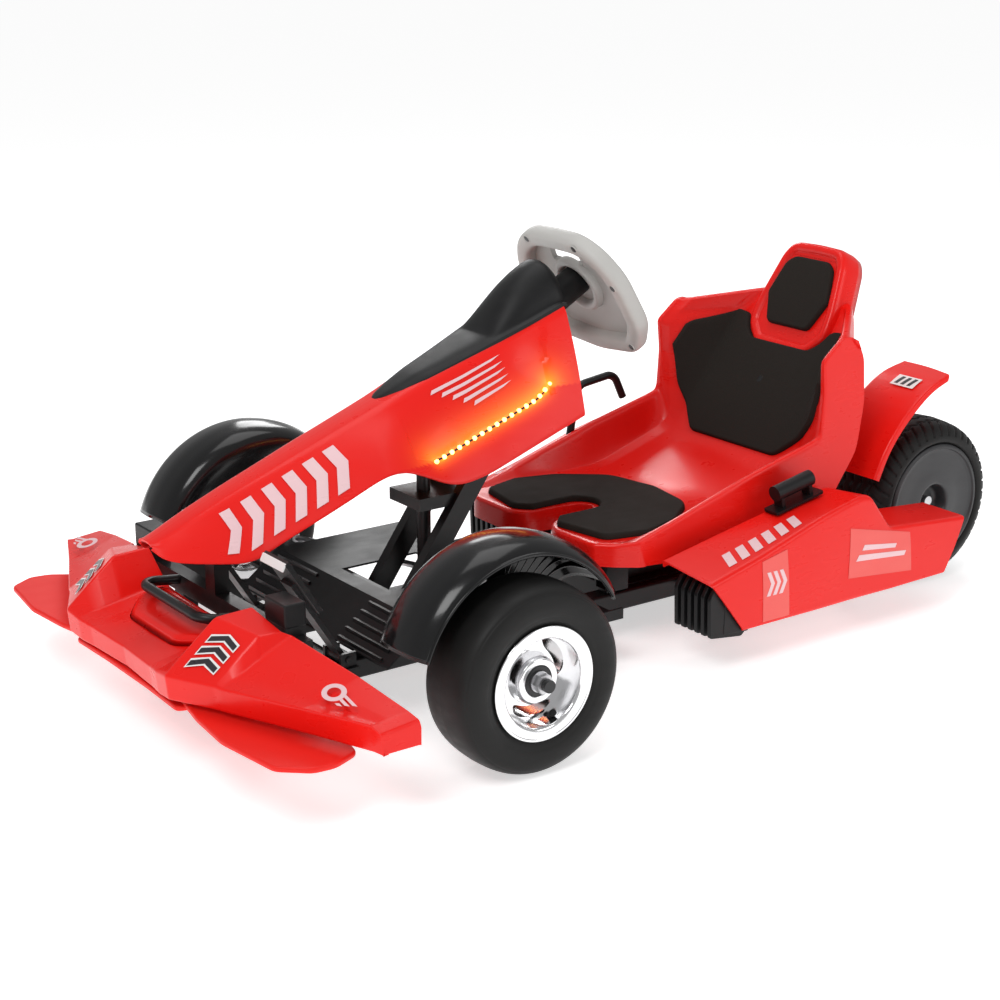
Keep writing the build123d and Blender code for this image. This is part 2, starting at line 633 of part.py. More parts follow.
# rear edge of the two side walls, from the shoulder down
side_rear = [(419, 461), (430, 390), (434, 327), (420, 252), (380, 195), (370, seat_under_z)]
with BuildPart() as seat_shell:
    add(yz_extrude([(seat_front, seat_under_z), (seat_front, seat_floor_z + 3), (206, 250), (wing_y, 284),
                    (wing_y, 400), (wing_y + 17, shoulder_z), (back_high[0] + seat_skin, 450),
                    (back_low[0] + seat_skin + 6, 205), (315, seat_under_z)],
                   -seat_half_w, seat_half_w, seat_datum))
    inner_half = seat_half_w - seat_wall
    add(yz_extrude([(seat_front - 20, seat_floor_z), (seat_bend, seat_floor_z), back_low, back_high,
                    (back_high[0] + 40, 484), (seat_front - 20, 484)], -inner_half, inner_half, seat_datum),
        mode=Mode.SUBTRACT)
    # the underside is hollow
    add(yz_extrude([(seat_front + 10, seat_under_z - 10), (seat_front + 10, seat_floor_z - 6),
                    (seat_bend, seat_floor_z - 6), (back_low[0] + 2, back_low[1] - 12),
                    (300, seat_under_z - 10)], -inner_half, inner_half, seat_datum), mode=Mode.SUBTRACT)
    # the side walls end ahead of the back rest
    for side in left_right:
        add(yz_extrude(side_rear + [(back_high[0] + 40, seat_under_z), (back_high[0] + 40, 470)],
                       side * inner_half, side * (seat_half_w + 5), seat_datum), mode=Mode.SUBTRACT)
    add(yz_extrude([back_low, (446.5, 389), head_low, head_high, (498, seat_top_z - 3), (528, seat_top_z),
                    (545, 520), (back_high[0] + seat_skin, 440), (back_low[0] + seat_skin + 6, 205)],
                   -head_half_w, head_half_w, seat_datum))
    # the leg notch between the two front lobes
    with BuildSketch(Plane.XY.offset(seat_under_z - 20)):
        with Locations((0, seat_front_y + (notch_depth - notch_half_w) / 2 - 20)):
            Rectangle(2 * notch_half_w, notch_depth - notch_half_w + 40)
        with Locations((0, seat_front_y + notch_depth - notch_half_w)):
            Circle(notch_half_w)
    extrude(amount=80, mode=Mode.SUBTRACT)
    # the outer front corners are cut off at a slant
    with BuildSketch(Plane.XY.offset(seat_under_z - 20)):
        for side in left_right:
            with BuildLine():
                Polyline((side * (seat_half_w + 5), seat_front_y - 5),
                         (side * (seat_half_w - 50), seat_front_y - 5),
                         (side * (seat_half_w + 5), seat_front_y + 60), close=True)
            make_face()
    extrude(amount=80, mode=Mode.SUBTRACT)
save(seat_shell.part, "seat_shell")

# pads: flat slabs just clear of the shell
base_half = [(24, seat_front + 22), (52, seat_front + 8), (148, seat_front + 26), (166, 30),
             (148, 95), (95, 165), (0, 182)]
with BuildPart() as seat_base_pad:
    with BuildSketch(Plane.XY.offset(seat_floor_z + skin_gap)):
        with BuildLine():
            Polyline(*[(x, seat_datum + y) for x, y in base_half],
                     *[(-x, seat_datum + y) for x, y in base_half[-2::-1]], close=True)
        make_face()
        with Locations((0, seat_front_y + notch_depth - notch_half_w)):
            Circle(notch_half_w + 8, mode=Mode.SUBTRACT)
        with Locations((0, seat_front_y + 30)):
            Rectangle(2 * notch_half_w + 16, 110, mode=Mode.SUBTRACT)
    extrude(amount=pad_t)
save(seat_base_pad.part, "seat_base_pad")


def lean_plane(low, high):
    """Plane on a leaning front face: local y climbs it and the normal faces the driver."""
    climb = Vector(0, high[0] - low[0], high[1] - low[1]).normalized()
    origin = (0, seat_datum + low[0], low[1])
    return Plane(origin=origin, x_dir=(1, 0, 0), z_dir=Vector(1, 0, 0).cross(climb))


def pad_on(plane, half_outline):
    """Pad of pad_t on a leaning plane from the outline of its right half."""
    with BuildPart() as body:
        with BuildSketch(plane.offset(skin_gap)):
            with BuildLine():
                Polyline(*half_outline, *[(-x, y) for x, y in reversed(half_outline) if x > 0], close=True)
            make_face()
        extrude(amount=pad_t)
    return body.part


back_plane = lean_plane(back_low, back_high)
back_length = (Vector(0, *back_high) - Vector(0, *back_low)).length
seat_back_pad = pad_on(back_plane, [(0, 0), (96, 0), (158, 78), (168, 178), (140, back_length - 8),
                                    (96, back_length - 6), (head_half_w + 2, 193), (66, 183), (0, 183)])
save(seat_back_pad, "seat_back_pad")
head_plane = lean_plane(head_low, head_high)
headrest_pad = pad_on(head_plane, [(0, 6), (44, 6), (68, 56), (52, 112), (34, 122), (0, 122)])
save(headrest_pad, "headrest_pad")

# brackets that carry the seat: boxes open fore and aft, each up to the shell's underside
seat_foot_ys = (seat_datum + 20, seat_datum + 260)
bracket_wall = 4.0
under_slope = (back_low[1] - seat_floor_z - 6) / (back_low[0] + 2 - seat_bend)
with BuildPart() as seat_brackets:
    for side in left_right:
        for foot_y in seat_foot_ys:
            rise = max(0, foot_y - seat_datum - 20 - seat_bend) * under_slope
            bracket_h = seat_floor_z - 6 - skin_gap + rise - rail_top_z - 3
            with Locations((side * rail_x, foot_y, rail_top_z + 3)):
                Box(30, 40, bracket_h, align=(Align.CENTER, Align.CENTER, Align.MIN))
            with Locations((side * rail_x, foot_y, rail_top_z + 3 + bracket_wall)):
                Box(30 - 2 * bracket_wall, 41, bracket_h - 2 * bracket_wall,
                    align=(Align.CENTER, Align.CENTER, Align.MIN), mode=Mode.SUBTRACT)
save(seat_brackets.part, "seat_brackets")

# ---- side pods -----------------------------------------------------------------------------
pod_front_low = (96.0, 60.0)
pod_outline = [(15, 160), (330, 222), (352, 218), (392, 162), (556, 150), (513, 62),
               pod_front_low, (34, 140)]
insert_rear_y = seat_datum + 112
pod_floor_z = 66.0
pod_inside = [(-10, 150), (50, 163), (328, 217), (348, 214), (389, 157.5), (549, 146),
              (510, pod_floor_z), (60, pod_floor_z)]


for side in left_right:
    with BuildPart() as pod:
        add(yz_extrude(pod_outline, pod_inner_x, pod_outer_x, seat_datum))
        add(yz_extrude(pod_inside, pod_inner_x - 5, pod_outer_x - panel_t, seat_datum), mode=Mode.SUBTRACT)
    save(sided(pod.part, side), "side_pod_" + side_name(side))

rib_pitch = 13.0
with BuildPart() as pod_inserts:
    for side in left_right:
        insert_w = pod_outer_x - panel_t - skin_gap - pod_inner_x
        insert_x = side * (pod_inner_x + insert_w / 2)
        with Locations((insert_x, insert_rear_y - 20, pod_floor_z + skin_gap)):
            Box(insert_w, 40, 90, align=(Align.CENTER, Align.CENTER, Align.MIN))
        for rib in range(6):
            with Locations((insert_x + side * (rib - 2.5) * rib_pitch, insert_rear_y - 50, 50)):
                Box(5, 24, 100 - 2 * rib, align=(Align.CENTER, Align.CENTER, Align.MIN))
save(pod_inserts.part, "pod_inserts")

# clamp with a roller on top of the left pod's inner edge
clamp_reach = 255.0            # from the seat's datum
with BuildPart() as side_clamp:
    (front_y, front_z), (crest_y, crest_z) = pod_outline[:2]
    clamp_rise = (crest_z - front_z) / (crest_y - front_y)
    clamp_slope = atan2(crest_z - front_z, crest_y - front_y)
    clamp_foot = (pod_inner_x + 16, seat_datum + clamp_reach,
                  front_z + (clamp_reach - front_y) * clamp_rise)
    clamp_plane = Plane(origin=clamp_foot, x_dir=(1, 0, 0), z_dir=(0, -sin(clamp_slope), cos(clamp_slope)))
    with BuildSketch(clamp_plane.offset(skin_gap)):
        RectangleRounded(30, 96, 4)
    extrude(amount=4)
    for stand in (-28, 28):
        with BuildSketch(clamp_plane.offset(4)):
            with Locations((0, stand)):
                Rectangle(18, 6)
        extrude(amount=24)
    with BuildSketch(Plane(origin=clamp_plane.origin + clamp_plane.z_dir * 27 - clamp_plane.y_dir * 36,
                           x_dir=(1, 0, 0), z_dir=clamp_plane.y_dir)):
        Circle(12)
    extrude(amount=72)
save(side_clamp.part, "side_clamp")

# ---- rear fenders over the front and top of the rear tyres -------------------------------------
fender_gap = 27.0
fender_inner_r = rear_tyre_r + fender_gap
fender_in_x = 86.0
fender_out_x = 204.0


def around_axle(radius, angle):
    """(y, z) at a radius and an angle above the horizontal, measured in front of the rear axle."""
    return (rear_axle_y - radius * cos(radians(angle)), rear_tyre_r + radius * sin(radians(angle)))


for side in left_right:
    with BuildPart() as fender:
        with BuildSketch(Plane.YZ.offset(side * fender_in_x)):
            with BuildLine():
                ThreePointArc(around_axle(fender_inner_r, 24), around_axle(fender_inner_r, 56),
                              around_axle(fender_inner_r + 2, 88))
                Polyline(around_axle(fender_inner_r + 2, 88), around_axle(fender_inner_r + 52, 97),
                         around_axle(fender_inner_r + 42, 78))
                ThreePointArc(around_axle(fender_inner_r + 42, 78), around_axle(fender_inner_r + 16, 50),
                              around_axle(fender_inner_r + 5, 24))
                Line(around_axle(fender_inner_r + 5, 24), around_axle(fender_inner_r, 24))
            make_face()
        extrude(amount=side * (fender_out_x - fender_in_x))
    save(fender.part, "rear_fender_" + side_name(side))

# brackets from the axle plates to the fenders
with BuildPart() as fender_brackets:
    for side in left_right:
        plate_outer = plate_x + plate_t / 2
        bracket_high = around_axle(fender_inner_r - 0.4, 80)
        with Locations((side * (plate_outer + 3), rear_axle_y - 20, rear_tyre_r + 10)):
            Box(6, 36, bracket_high[1] - rear_tyre_r - 14, align=(Align.CENTER, Align.CENTER, Align.MIN))
        with Locations((side * (plate_outer + 22), rear_axle_y - 20, bracket_high[1] - 7)):
            Box(44, 36, 5, align=(Align.CENTER, Align.CENTER, Align.MIN))
save(fender_brackets.part, "fender_brackets")

# ---- nose fairing: a hollow roof-shaped shell through five stations ------------------------
# (y from the nose's datum, half top width, top z, half bottom width, bottom z)
nose_stations = [(-672, 18, 266, 34, 244), (-560, 22, 317, 74, 232), (-352, 26, 397, 104, 322),
                 (-262, 34, 432, 112, 292), (-48, 62, 516, 112, 358)]


def roof(stations, inset, drop):
    """Ruled loft through roof-shaped sections; inset narrows it and drop lowers it."""
    with BuildPart() as body:
        for y, top_half, top_z, low_half, low_z in stations:
            with BuildSketch(Plane(origin=(0, nose_datum + y, 0), x_dir=(1, 0, 0), z_dir=(0, -1, 0))):
                with BuildLine():
                    Polyline((-top_half + inset, top_z - drop), (top_half - inset, top_z - drop),
                             (low_half - inset, low_z - 3 * drop), (-low_half + inset, low_z - 3 * drop),
                             close=True)
                make_face()
        loft(ruled=True)
    return body.part


hollow_stations = [(-672 + 2 * panel_t, 18, 266, 34, 244)] + nose_stations[1:-1]
hollow_stations += [(-46, 62, 516.8, 112, 358)]
with BuildPart() as nose_fairing:
    add(roof(nose_stations, 0, 0))
    add(roof(hollow_stations, panel_t, panel_t), mode=Mode.SUBTRACT)
save(nose_fairing.part, "nose_fairing")

# dash cover: black hood on the fairing's ridge, rising to a rounded cowl in front of the wheel
dash_gap = 0.5
dash_rear = -62.0              # from the nose's datum
# (y from the nose's datum, half width, base z, rise)
dash_rows = [(-352, 16, 397, 3), (-262, 26, 432, 22), (-110, 46, 491.7, 62), (dash_rear, 44, 510.5, 58)]
dash_rear_y = nose_datum + dash_rear
button_r = 9.0
button_proud = 4.0
button_z = 540.0
button_depth = 12.0


def cowl(rows, lift):
    """Ruled loft through trapezoids that narrow upwards, set on the fairing's ridge."""
    with BuildPart() as body:
        for y, half, base_z, rise in rows:
            with BuildSketch(Plane(origin=(0, nose_datum + y, 0), x_dir=(1, 0, 0), z_dir=(0, -1, 0))):
                with BuildLine():
                    Polyline((-half, base_z + lift), (half, base_z + lift),
                             (half * 0.6, base_z + lift + rise),
                             (-half * 0.6, base_z + lift + rise), close=True)
                make_face()
        loft(ruled=True)
    return body.part


hollow_rows = [(-262, 20, 430, 20), (-110, 42, 489.7, 60), (-84, 41, 500, 58)]
with BuildPart() as dash_cover:
    add(cowl(dash_rows, dash_gap))
    add(cowl(hollow_rows, -1.5), mode=Mode.SUBTRACT)
    with Locations((0, dash_rear_y, button_z)):
        Cylinder(button_r + 0.4, 2 * (button_depth + 4), rotation=(90, 0, 0), mode=Mode.SUBTRACT)
save(dash_cover.part, "dash_cover")

with BuildPart() as power_button:
    button_foot = (0, dash_rear_y - button_depth, button_z)
    with BuildSketch(Plane(origin=button_foot, x_dir=(1, 0, 0), z_dir=(0, 1, 0))):
        Circle(button_r)
    extrude(amount=button_depth + button_proud)
    chamfer(power_button.faces().sort_by(Axis.Y)[-1].edges(), 0.8)
save(power_button.part, "power_button")

# amber light strips low on both flanks of the fairing: a run along the flank and a short rise
led_w = 7.0
led_t = 3.0
led_normal = Vector(0.827, -0.19, 0.529)
led_route = [(92.6, nose_datum - 290, 328), (91.6, nose_datum - 116, 391)]
with BuildPart() as led_run:
    led_start = Vector(*led_route[0]) + led_normal * 0.6
    led_dir = (Vector(*led_route[1]) - Vector(*led_route[0]))
    with BuildSketch(Plane(origin=led_start, x_dir=led_normal, z_dir=led_dir.normalized())):
        with Locations((led_t / 2, 0)):
            Rectangle(led_t, led_w)
    extrude(amount=led_dir.length)
with BuildPart() as led_strips:
    add(led_run.part)
    add(mirror(led_run.part, about=Plane.YZ))
save(led_strips.part, "led_strips")

# ---- front bumper: stations across the kart, each (x, five (y, z) corners) -------------------------
bumper_inset = 5.0
rear_edge = bumper_front_y + 136.0
bumper_stations = [
    (0.0, [(17, 98), (13, 126), (39, 134), (136, 152)]),
    (135.0, [(7, 102), (3, 132), (33, 141), (136, 158)]),
    (152.0, [(4, 104), (0, 138), (71, 202), (127, 203)]),
    (222.0, [(39, 104), (35, 137), (103, 189), (136, 184)]),
    (236.0, [(45, 104), (41, 136), (79, 150), (143, 178)]),
    (bumper_half_w, [(133, 102), (131, 136), (141, 138), (186, 139)]),
]


def bumper_solid(inset, half_w):
    """Ruled loft across the kart; inset moves every section back, down and opens it to the rear."""
    rows = [(min(x, half_w), points) for x, points in bumper_stations]
    with BuildPart() as body:
        for x, points in [(-x, points) for x, points in reversed(rows[1:])] + rows:
            drops = [3 * inset] + [inset] * (len(points) - 1)
            corners = [(bumper_front_y + dy + inset, z - drop) for (dy, z), drop in zip(points, drops)]
            last_y, last_z = corners[-1]
            corners[-1] = (last_y + 2 * inset, last_z)
            corners.append((last_y + 2 * inset, corners[0][1]))
            with BuildSketch(Plane(origin=(x, 0, 0), x_dir=(0, 1, 0), z_dir=(1, 0, 0))):
                with BuildLine():
                    Polyline(*corners, close=True)
                make_face()
        loft(ruled=True)
    return body.part


with BuildPart() as front_bumper:
    add(bumper_solid(0, bumper_half_w))
    add(bumper_solid(bumper_inset, bumper_half_w - bumper_inset), mode=Mode.SUBTRACT)
save(front_bumper.part, "front_bumper")

lip_z = 84.0
lip_t = 9.0
with BuildPart() as bumper_lip:
    with BuildSketch(Plane.XY.offset(lip_z)):
        for side in left_right:
            with BuildLine():
                Polyline((0, bumper_front_y + 16), (side * 140, bumper_front_y + 10),
                         (side * 370, bumper_front_y + 14), (side * 402, bumper_front_y + 34),
                         (side * 366, bumper_front_y + 140), (side * 250, bumper_front_y + 100),
                         (0, bumper_front_y + 100), close=True)
            make_face()
    extrude(amount=lip_t)
    for side in left_right:
        with Locations((side * 120, bumper_front_y + 60, lip_z + lip_t)):
            Box(20, 30, 5, align=(Align.CENTER, Align.CENTER, Align.MIN))
save(bumper_lip.part, "bumper_lip")

# black bar behind the bumper with two end boxes, on posts from the rails, and a post for the nose
bar_y = rear_edge + 19.0
bar_z = 162.0
box_x = 187.0
bar_half = 232.0
with BuildPart() as bumper_bar:
    with Locations((0, bar_y, bar_z)):
        Box(2 * bar_half, 22, 26)
    for side in left_right:
        with Locations((side * box_x, bar_y - 2, bar_z + 26)):
            Box(50, 30, 30)
        with Locations((side * rail_x, bar_y, rail_top_z)):
            Box(26, 22, bar_z - rail_top_z, align=(Align.CENTER, Align.CENTER, Align.MIN))
    (low_y, _, low_top, _, _), (high_y, _, high_top, _, _) = nose_stations[1:3]
    roof_rise = (high_top - low_top) / (high_y - low_y)
    nose_roof = low_top + (bar_y - nose_datum - low_y) * roof_rise - panel_t - 20
    with Locations((0, bar_y, bar_z)):
        Box(26, 22, nose_roof - bar_z, align=(Align.CENTER, Align.CENTER, Align.MIN))
save(bumper_bar.part, "bumper_bar")

hoop_r = 7.0
hoop_half = 92.0
hoop_z = 168.0
hoop_front_y = rear_edge - 52.0
hoop_end_y = bar_y - 12.3
with BuildPart() as front_hoop:
    with BuildLine() as hoop_path:
        FilletPolyline((-hoop_half, hoop_end_y, hoop_z), (-hoop_half, hoop_front_y, hoop_z + 8),
                       (hoop_half, hoop_front_y, hoop_z + 8), (hoop_half, hoop_end_y, hoop_z), radius=26)
    with BuildSketch(Plane(origin=hoop_path.line @ 0, z_dir=hoop_path.line % 0)):
        Circle(hoop_r)
    sweep(path=hoop_path.line)
save(front_hoop.part, "front_hoop")

# ---- pedals -----------------------------------------------------------------------------------------
pedal_tube_r = 9.0
pedal_tube_w = 36.0
ear_t = 5.0
with BuildPart() as pedal_brackets:
    for side in left_right:
        with Locations((side * (pedal_x - 4), pedal_pivot_y, rail_top_z)):
            Box(64, 30, 3, align=(Align.CENTER, Align.CENTER, Align.MIN))
        for ear in (-1, 1):
            ear_x = side * pedal_x + ear * (pedal_tube_w / 2 + 0.5 + ear_t / 2)
            with Locations((ear_x, pedal_pivot_y, rail_top_z + 3)):
                Box(ear_t, 24, pedal_pivot_z - rail_top_z + 7,
                    align=(Align.CENTER, Align.CENTER, Align.MIN))
        with Locations((side * pedal_x, pedal_pivot_y, pedal_pivot_z)):
            Cylinder(pedal_pin_r, pedal_tube_w + 2 * ear_t + 6, rotation=(0, 90, 0))
save(pedal_brackets.part, "pedal_brackets")

for side, pedal_name in ((1, "brake_pedal"), (-1, "throttle_pedal")):
    pivot = (side * pedal_x, pedal_pivot_y, pedal_pivot_z)
    pedal_dir = Vector(0, -sin(radians(pedal_lean)), cos(radians(pedal_lean)))
    pedal_plane = Plane(origin=pivot, x_dir=(1, 0, 0), z_dir=pedal_dir)
    with BuildPart() as pedal:
        with Locations(pivot):
            Cylinder(pedal_tube_r, pedal_tube_w, rotation=(0, 90, 0))
        with BuildSketch(pedal_plane):
            Rectangle(28, 7)
        extrude(amount=pedal_length - 40)
        with BuildSketch(pedal_plane.offset(pedal_length - 92)):
            with Locations((0, 6)):
                Rectangle(pedal_w, 7)
        extrude(amount=92)
        for rung in range(4):
            with BuildSketch(pedal_plane.offset(pedal_length - 80 + 22 * rung)):
                with Locations((0, 10.5)):
                    Rectangle(pedal_w - 8, 3)
            extrude(amount=5)
        with Locations(pivot):
            Cylinder(pedal_pin_r + running_gap, pedal_tube_w + 2, rotation=(0, 90, 0), mode=Mode.SUBTRACT)
    save(pedal.part, pedal_name)

# ---- parking brake lever in the gap between the seat and the right pod ---------------------------------
lever_r = 6.5
lever_pivot = (lever_x, pod_arm_ys[0], lever_pivot_z)
with BuildPart() as brake_lever:
    with BuildLine() as lever_path:
        FilletPolyline(lever_pivot, (lever_x, seat_datum + 186, 308), (lever_x, seat_datum + 262, 318),
                       (lever_x, seat_datum + 282, 276), radius=22)
    with BuildSketch(Plane(origin=lever_path.line @ 0, z_dir=lever_path.line % 0)):
        Circle(lever_r)
    sweep(path=lever_path.line)
    with Locations(lever_pivot):
        Cylinder(11, 12, rotation=(0, 90, 0))
        Cylinder(lever_pin_r + running_gap, 20, rotation=(0, 90, 0), mode=Mode.SUBTRACT)
save(brake_lever.part, "brake_lever")

# ---- steering wheel: rounded trapezoid, recessed behind, open above the hub ------------------------------
wheel_reach = 14.0             # middle of the wheel beyond the column's end point
wheel_plane = Plane(origin=hub_point + column_axis * wheel_reach, x_dir=(-1, 0, 0), z_dir=column_axis)
wheel_half_t = 14.0
wheel_top = 88.0
wheel_band = 27.0
# half outline (across, up) from the middle of the top to the middle of the bottom
wheel_outline = [(0, wheel_top), (56, wheel_top - 2), (94, 64), (121, 22), (124, -60), (88, -112),
                 (0, -122)]


def trapezoid(inset):
    """The wheel's outline, drawn inwards by inset and rounded at its corners."""
    with BuildSketch() as face:
        with BuildLine():
            Polyline(*wheel_outline, *[(-x, y) for x, y in reversed(wheel_outline) if x > 0], close=True)
        make_face()
        if inset:
            offset(amount=-inset)
        fillet(face.vertices(), 12 if inset else 20)
    return face.sketch


with BuildPart() as steering_wheel:
    with BuildSketch(wheel_plane.offset(-wheel_half_t)):
        add(trapezoid(0))
    extrude(amount=2 * wheel_half_t)
    chamfer(steering_wheel.faces().sort_by(Axis((0, 0, 0), column_axis))[-1].edges(), 7)
    chamfer(steering_wheel.faces().sort_by(Axis((0, 0, 0), column_axis))[0].edges(), 7)
    with BuildSketch(wheel_plane.offset(-wheel_half_t)):
        add(trapezoid(wheel_band))
    extrude(amount=wheel_half_t + 4, mode=Mode.SUBTRACT)
    with BuildSketch(wheel_plane.offset(-wheel_half_t)):
        with Locations((0, 44)):
            Trapezoid(78, 30, 80)
    extrude(amount=2 * wheel_half_t, mode=Mode.SUBTRACT)
save(steering_wheel.part, "steering_wheel")

boss_r = 23.0
boss_back = 36.0 + wheel_reach
with BuildPart() as steering_hub:
    with BuildSketch(wheel_plane.offset(-boss_back)):
        Circle(boss_r)
    extrude(amount=boss_back + 4 - skin_gap)
    with BuildSketch(wheel_plane.offset(-boss_back)):
        Circle(column_r)
    extrude(amount=boss_back - 14 - wheel_reach, mode=Mode.SUBTRACT)
save(steering_hub.part, "steering_hub")

# ---- bolts: strut feet, rear bracket and seat feet ------------------------------------------------------
bolt_r = 6.0
foot_top_z = rail_top_z + 5
with BuildPart() as frame_bolts:
    for side in left_right:
        for bolt_dy in (-14, 14):
            with BuildSketch(Plane.XY.offset(foot_top_z)):
                with Locations((side * (strut_x + 22), strut_foot_y + bolt_dy)):
                    RegularPolygon(bolt_r, 6)
            extrude(amount=5)
        for foot_y in seat_foot_ys:
            with BuildSketch(Plane.XY.offset(rail_top_z + 3 + bracket_wall)):
                with Locations((side * rail_x, foot_y)):
                    RegularPolygon(bolt_r, 6)
            extrude(amount=5)
save(frame_bolts.part, "frame_bolts")
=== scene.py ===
"""Ride-on go-kart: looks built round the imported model. It faces -Y and +X is the kart's own left.

Shapes are worked out in millimetres and put into the meshes in metres.
"""
import math

import bmesh
import bpy
import numpy as np
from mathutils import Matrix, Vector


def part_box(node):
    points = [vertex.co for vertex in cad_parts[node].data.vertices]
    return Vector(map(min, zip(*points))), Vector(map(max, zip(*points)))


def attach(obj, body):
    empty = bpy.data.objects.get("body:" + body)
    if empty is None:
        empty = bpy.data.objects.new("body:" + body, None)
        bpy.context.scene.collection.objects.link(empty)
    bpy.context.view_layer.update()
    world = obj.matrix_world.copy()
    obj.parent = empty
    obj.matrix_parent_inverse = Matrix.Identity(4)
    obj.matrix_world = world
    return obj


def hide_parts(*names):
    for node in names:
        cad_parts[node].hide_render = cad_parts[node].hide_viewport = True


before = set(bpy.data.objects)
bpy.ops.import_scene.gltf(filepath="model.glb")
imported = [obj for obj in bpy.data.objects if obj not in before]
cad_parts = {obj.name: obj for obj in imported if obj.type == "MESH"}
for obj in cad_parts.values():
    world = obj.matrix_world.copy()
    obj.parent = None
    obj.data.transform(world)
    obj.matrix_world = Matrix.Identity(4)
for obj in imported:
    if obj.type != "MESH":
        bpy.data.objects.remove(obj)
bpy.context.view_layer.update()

UNITS = 0.001
SIDES = (("left", (1, 1, 1)), ("right", (-1, 1, 1)))


# ---------------------------------------------------------------- surfaces on a grid
def rounding(net, axis, radius, steps=5, closed=False):
    """Weights that round a net's corners along one axis.

    Near a corner the line leaves the straight run at the radius and crosses to the next run on
    start*(1-t)^2 + corner*2t(1-t) + end*t^2. Ends of an open net stay where they are.
    """
    count = net.shape[axis]
    runs = np.moveaxis(net, axis, 0)
    length = np.linalg.norm(np.roll(runs, -1, 0) - runs, axis=-1).reshape(count, -1).mean(1) + 1e-6
    radius = np.broadcast_to(np.asarray(radius, float), count)
    here = np.eye(count)
    back = np.minimum(radius / np.roll(length, 1), 0.49)[:, None]
    ahead = np.minimum(radius / length, 0.49)[:, None]
    start = here + back * (np.roll(here, 1, 0) - here)
    end = here + ahead * (np.roll(here, -1, 0) - here)
    t = np.linspace(0, 1, steps)[:, None, None]
    arcs = ((1 - t) ** 2 * start + 2 * t * (1 - t) * here + t ** 2 * end).transpose(1, 0, 2)
    if closed:
        return arcs.reshape(-1, count)
    return np.vstack([here[:1], arcs[1:-1].reshape(-1, count), here[-1:]])


def soften(net, radius_u, radius_v, closed_u=False, closed_v=False, steps=5):
    """Surface point (a, b) = sum over the net of weight_u(a, i) * weight_v(b, j) * net(i, j)."""
    net = np.asarray(net, float)
    rows = rounding(net, 0, radius_u, steps, closed_u)
    columns = rounding(net, 1, radius_v, steps, closed_v)
    return np.einsum("ai,bj,ijk->abk", rows, columns, net)


def soften_line(points, radius, closed=False, steps=6):
    """Polyline with its corners rounded by the same rule as a net's."""
    points = np.asarray(points, float)
    return rounding(points[None], 1, radius, steps, closed) @ points


def along(line, count):
    """Points at equal distances along a polyline, by its running length."""
    line = np.asarray(line, float)
    run = np.r_[0, np.cumsum(np.linalg.norm(np.diff(line, axis=0), axis=1))]
    where = np.linspace(0, run[-1], count)
    return np.stack([np.interp(where, run, line[:, k]) for k in range(line.shape[1])], 1)


def denser(grid, axis, pitch):
    """Grid with its runs along one axis cut to at most the pitch, by linear interpolation."""
    grid = np.moveaxis(grid, axis, 0)
    length = np.linalg.norm(np.diff(grid, axis=0), axis=-1).max(1)
    parts = np.maximum(np.ceil(length / pitch).astype(int), 1)
    where = np.concatenate([i + np.arange(n) / n for i, n in enumerate(parts)] + [[len(parts)]])
    low = np.minimum(where.astype(int), len(grid) - 2)
    share = (where - low).reshape(-1, *[1] * (grid.ndim - 1))
    return np.moveaxis(grid[low] * (1 - share) + grid[low + 1] * share, 0, axis)


def normals_of(grid):
    """Unit normals of a grid: cross product of its two central differences."""
    across = np.cross(np.gradient(grid, axis=0), np.gradient(grid, axis=1))
    return across / (np.linalg.norm(across, axis=-1, keepdims=True) + 1e-9)


def quads(rows, columns, closed_u=False, closed_v=False, first=0):
    """Vertex numbers of a grid's faces."""
    i = np.arange(rows if closed_u else rows - 1)[:, None]
    j = np.arange(columns if closed_v else columns - 1)[None]
    right, below = (j + 1) % columns, (i + 1) % rows
    return first + np.stack(np.broadcast_arrays(i * columns + j, below * columns + j,
                                                below * columns + right, i * columns + right), -1).reshape(-1,
                                                                                                           4)


def mirrored(grid):
    """The same grid on the other side of the kart."""
    return np.asarray(grid) * (-1, 1, 1)


def full_width(half):
    """Grid across the whole kart from columns that run from the middle to the left."""
    half = np.asarray(half, float)
    return np.concatenate([mirrored(half[:, :0:-1]), half], 1)


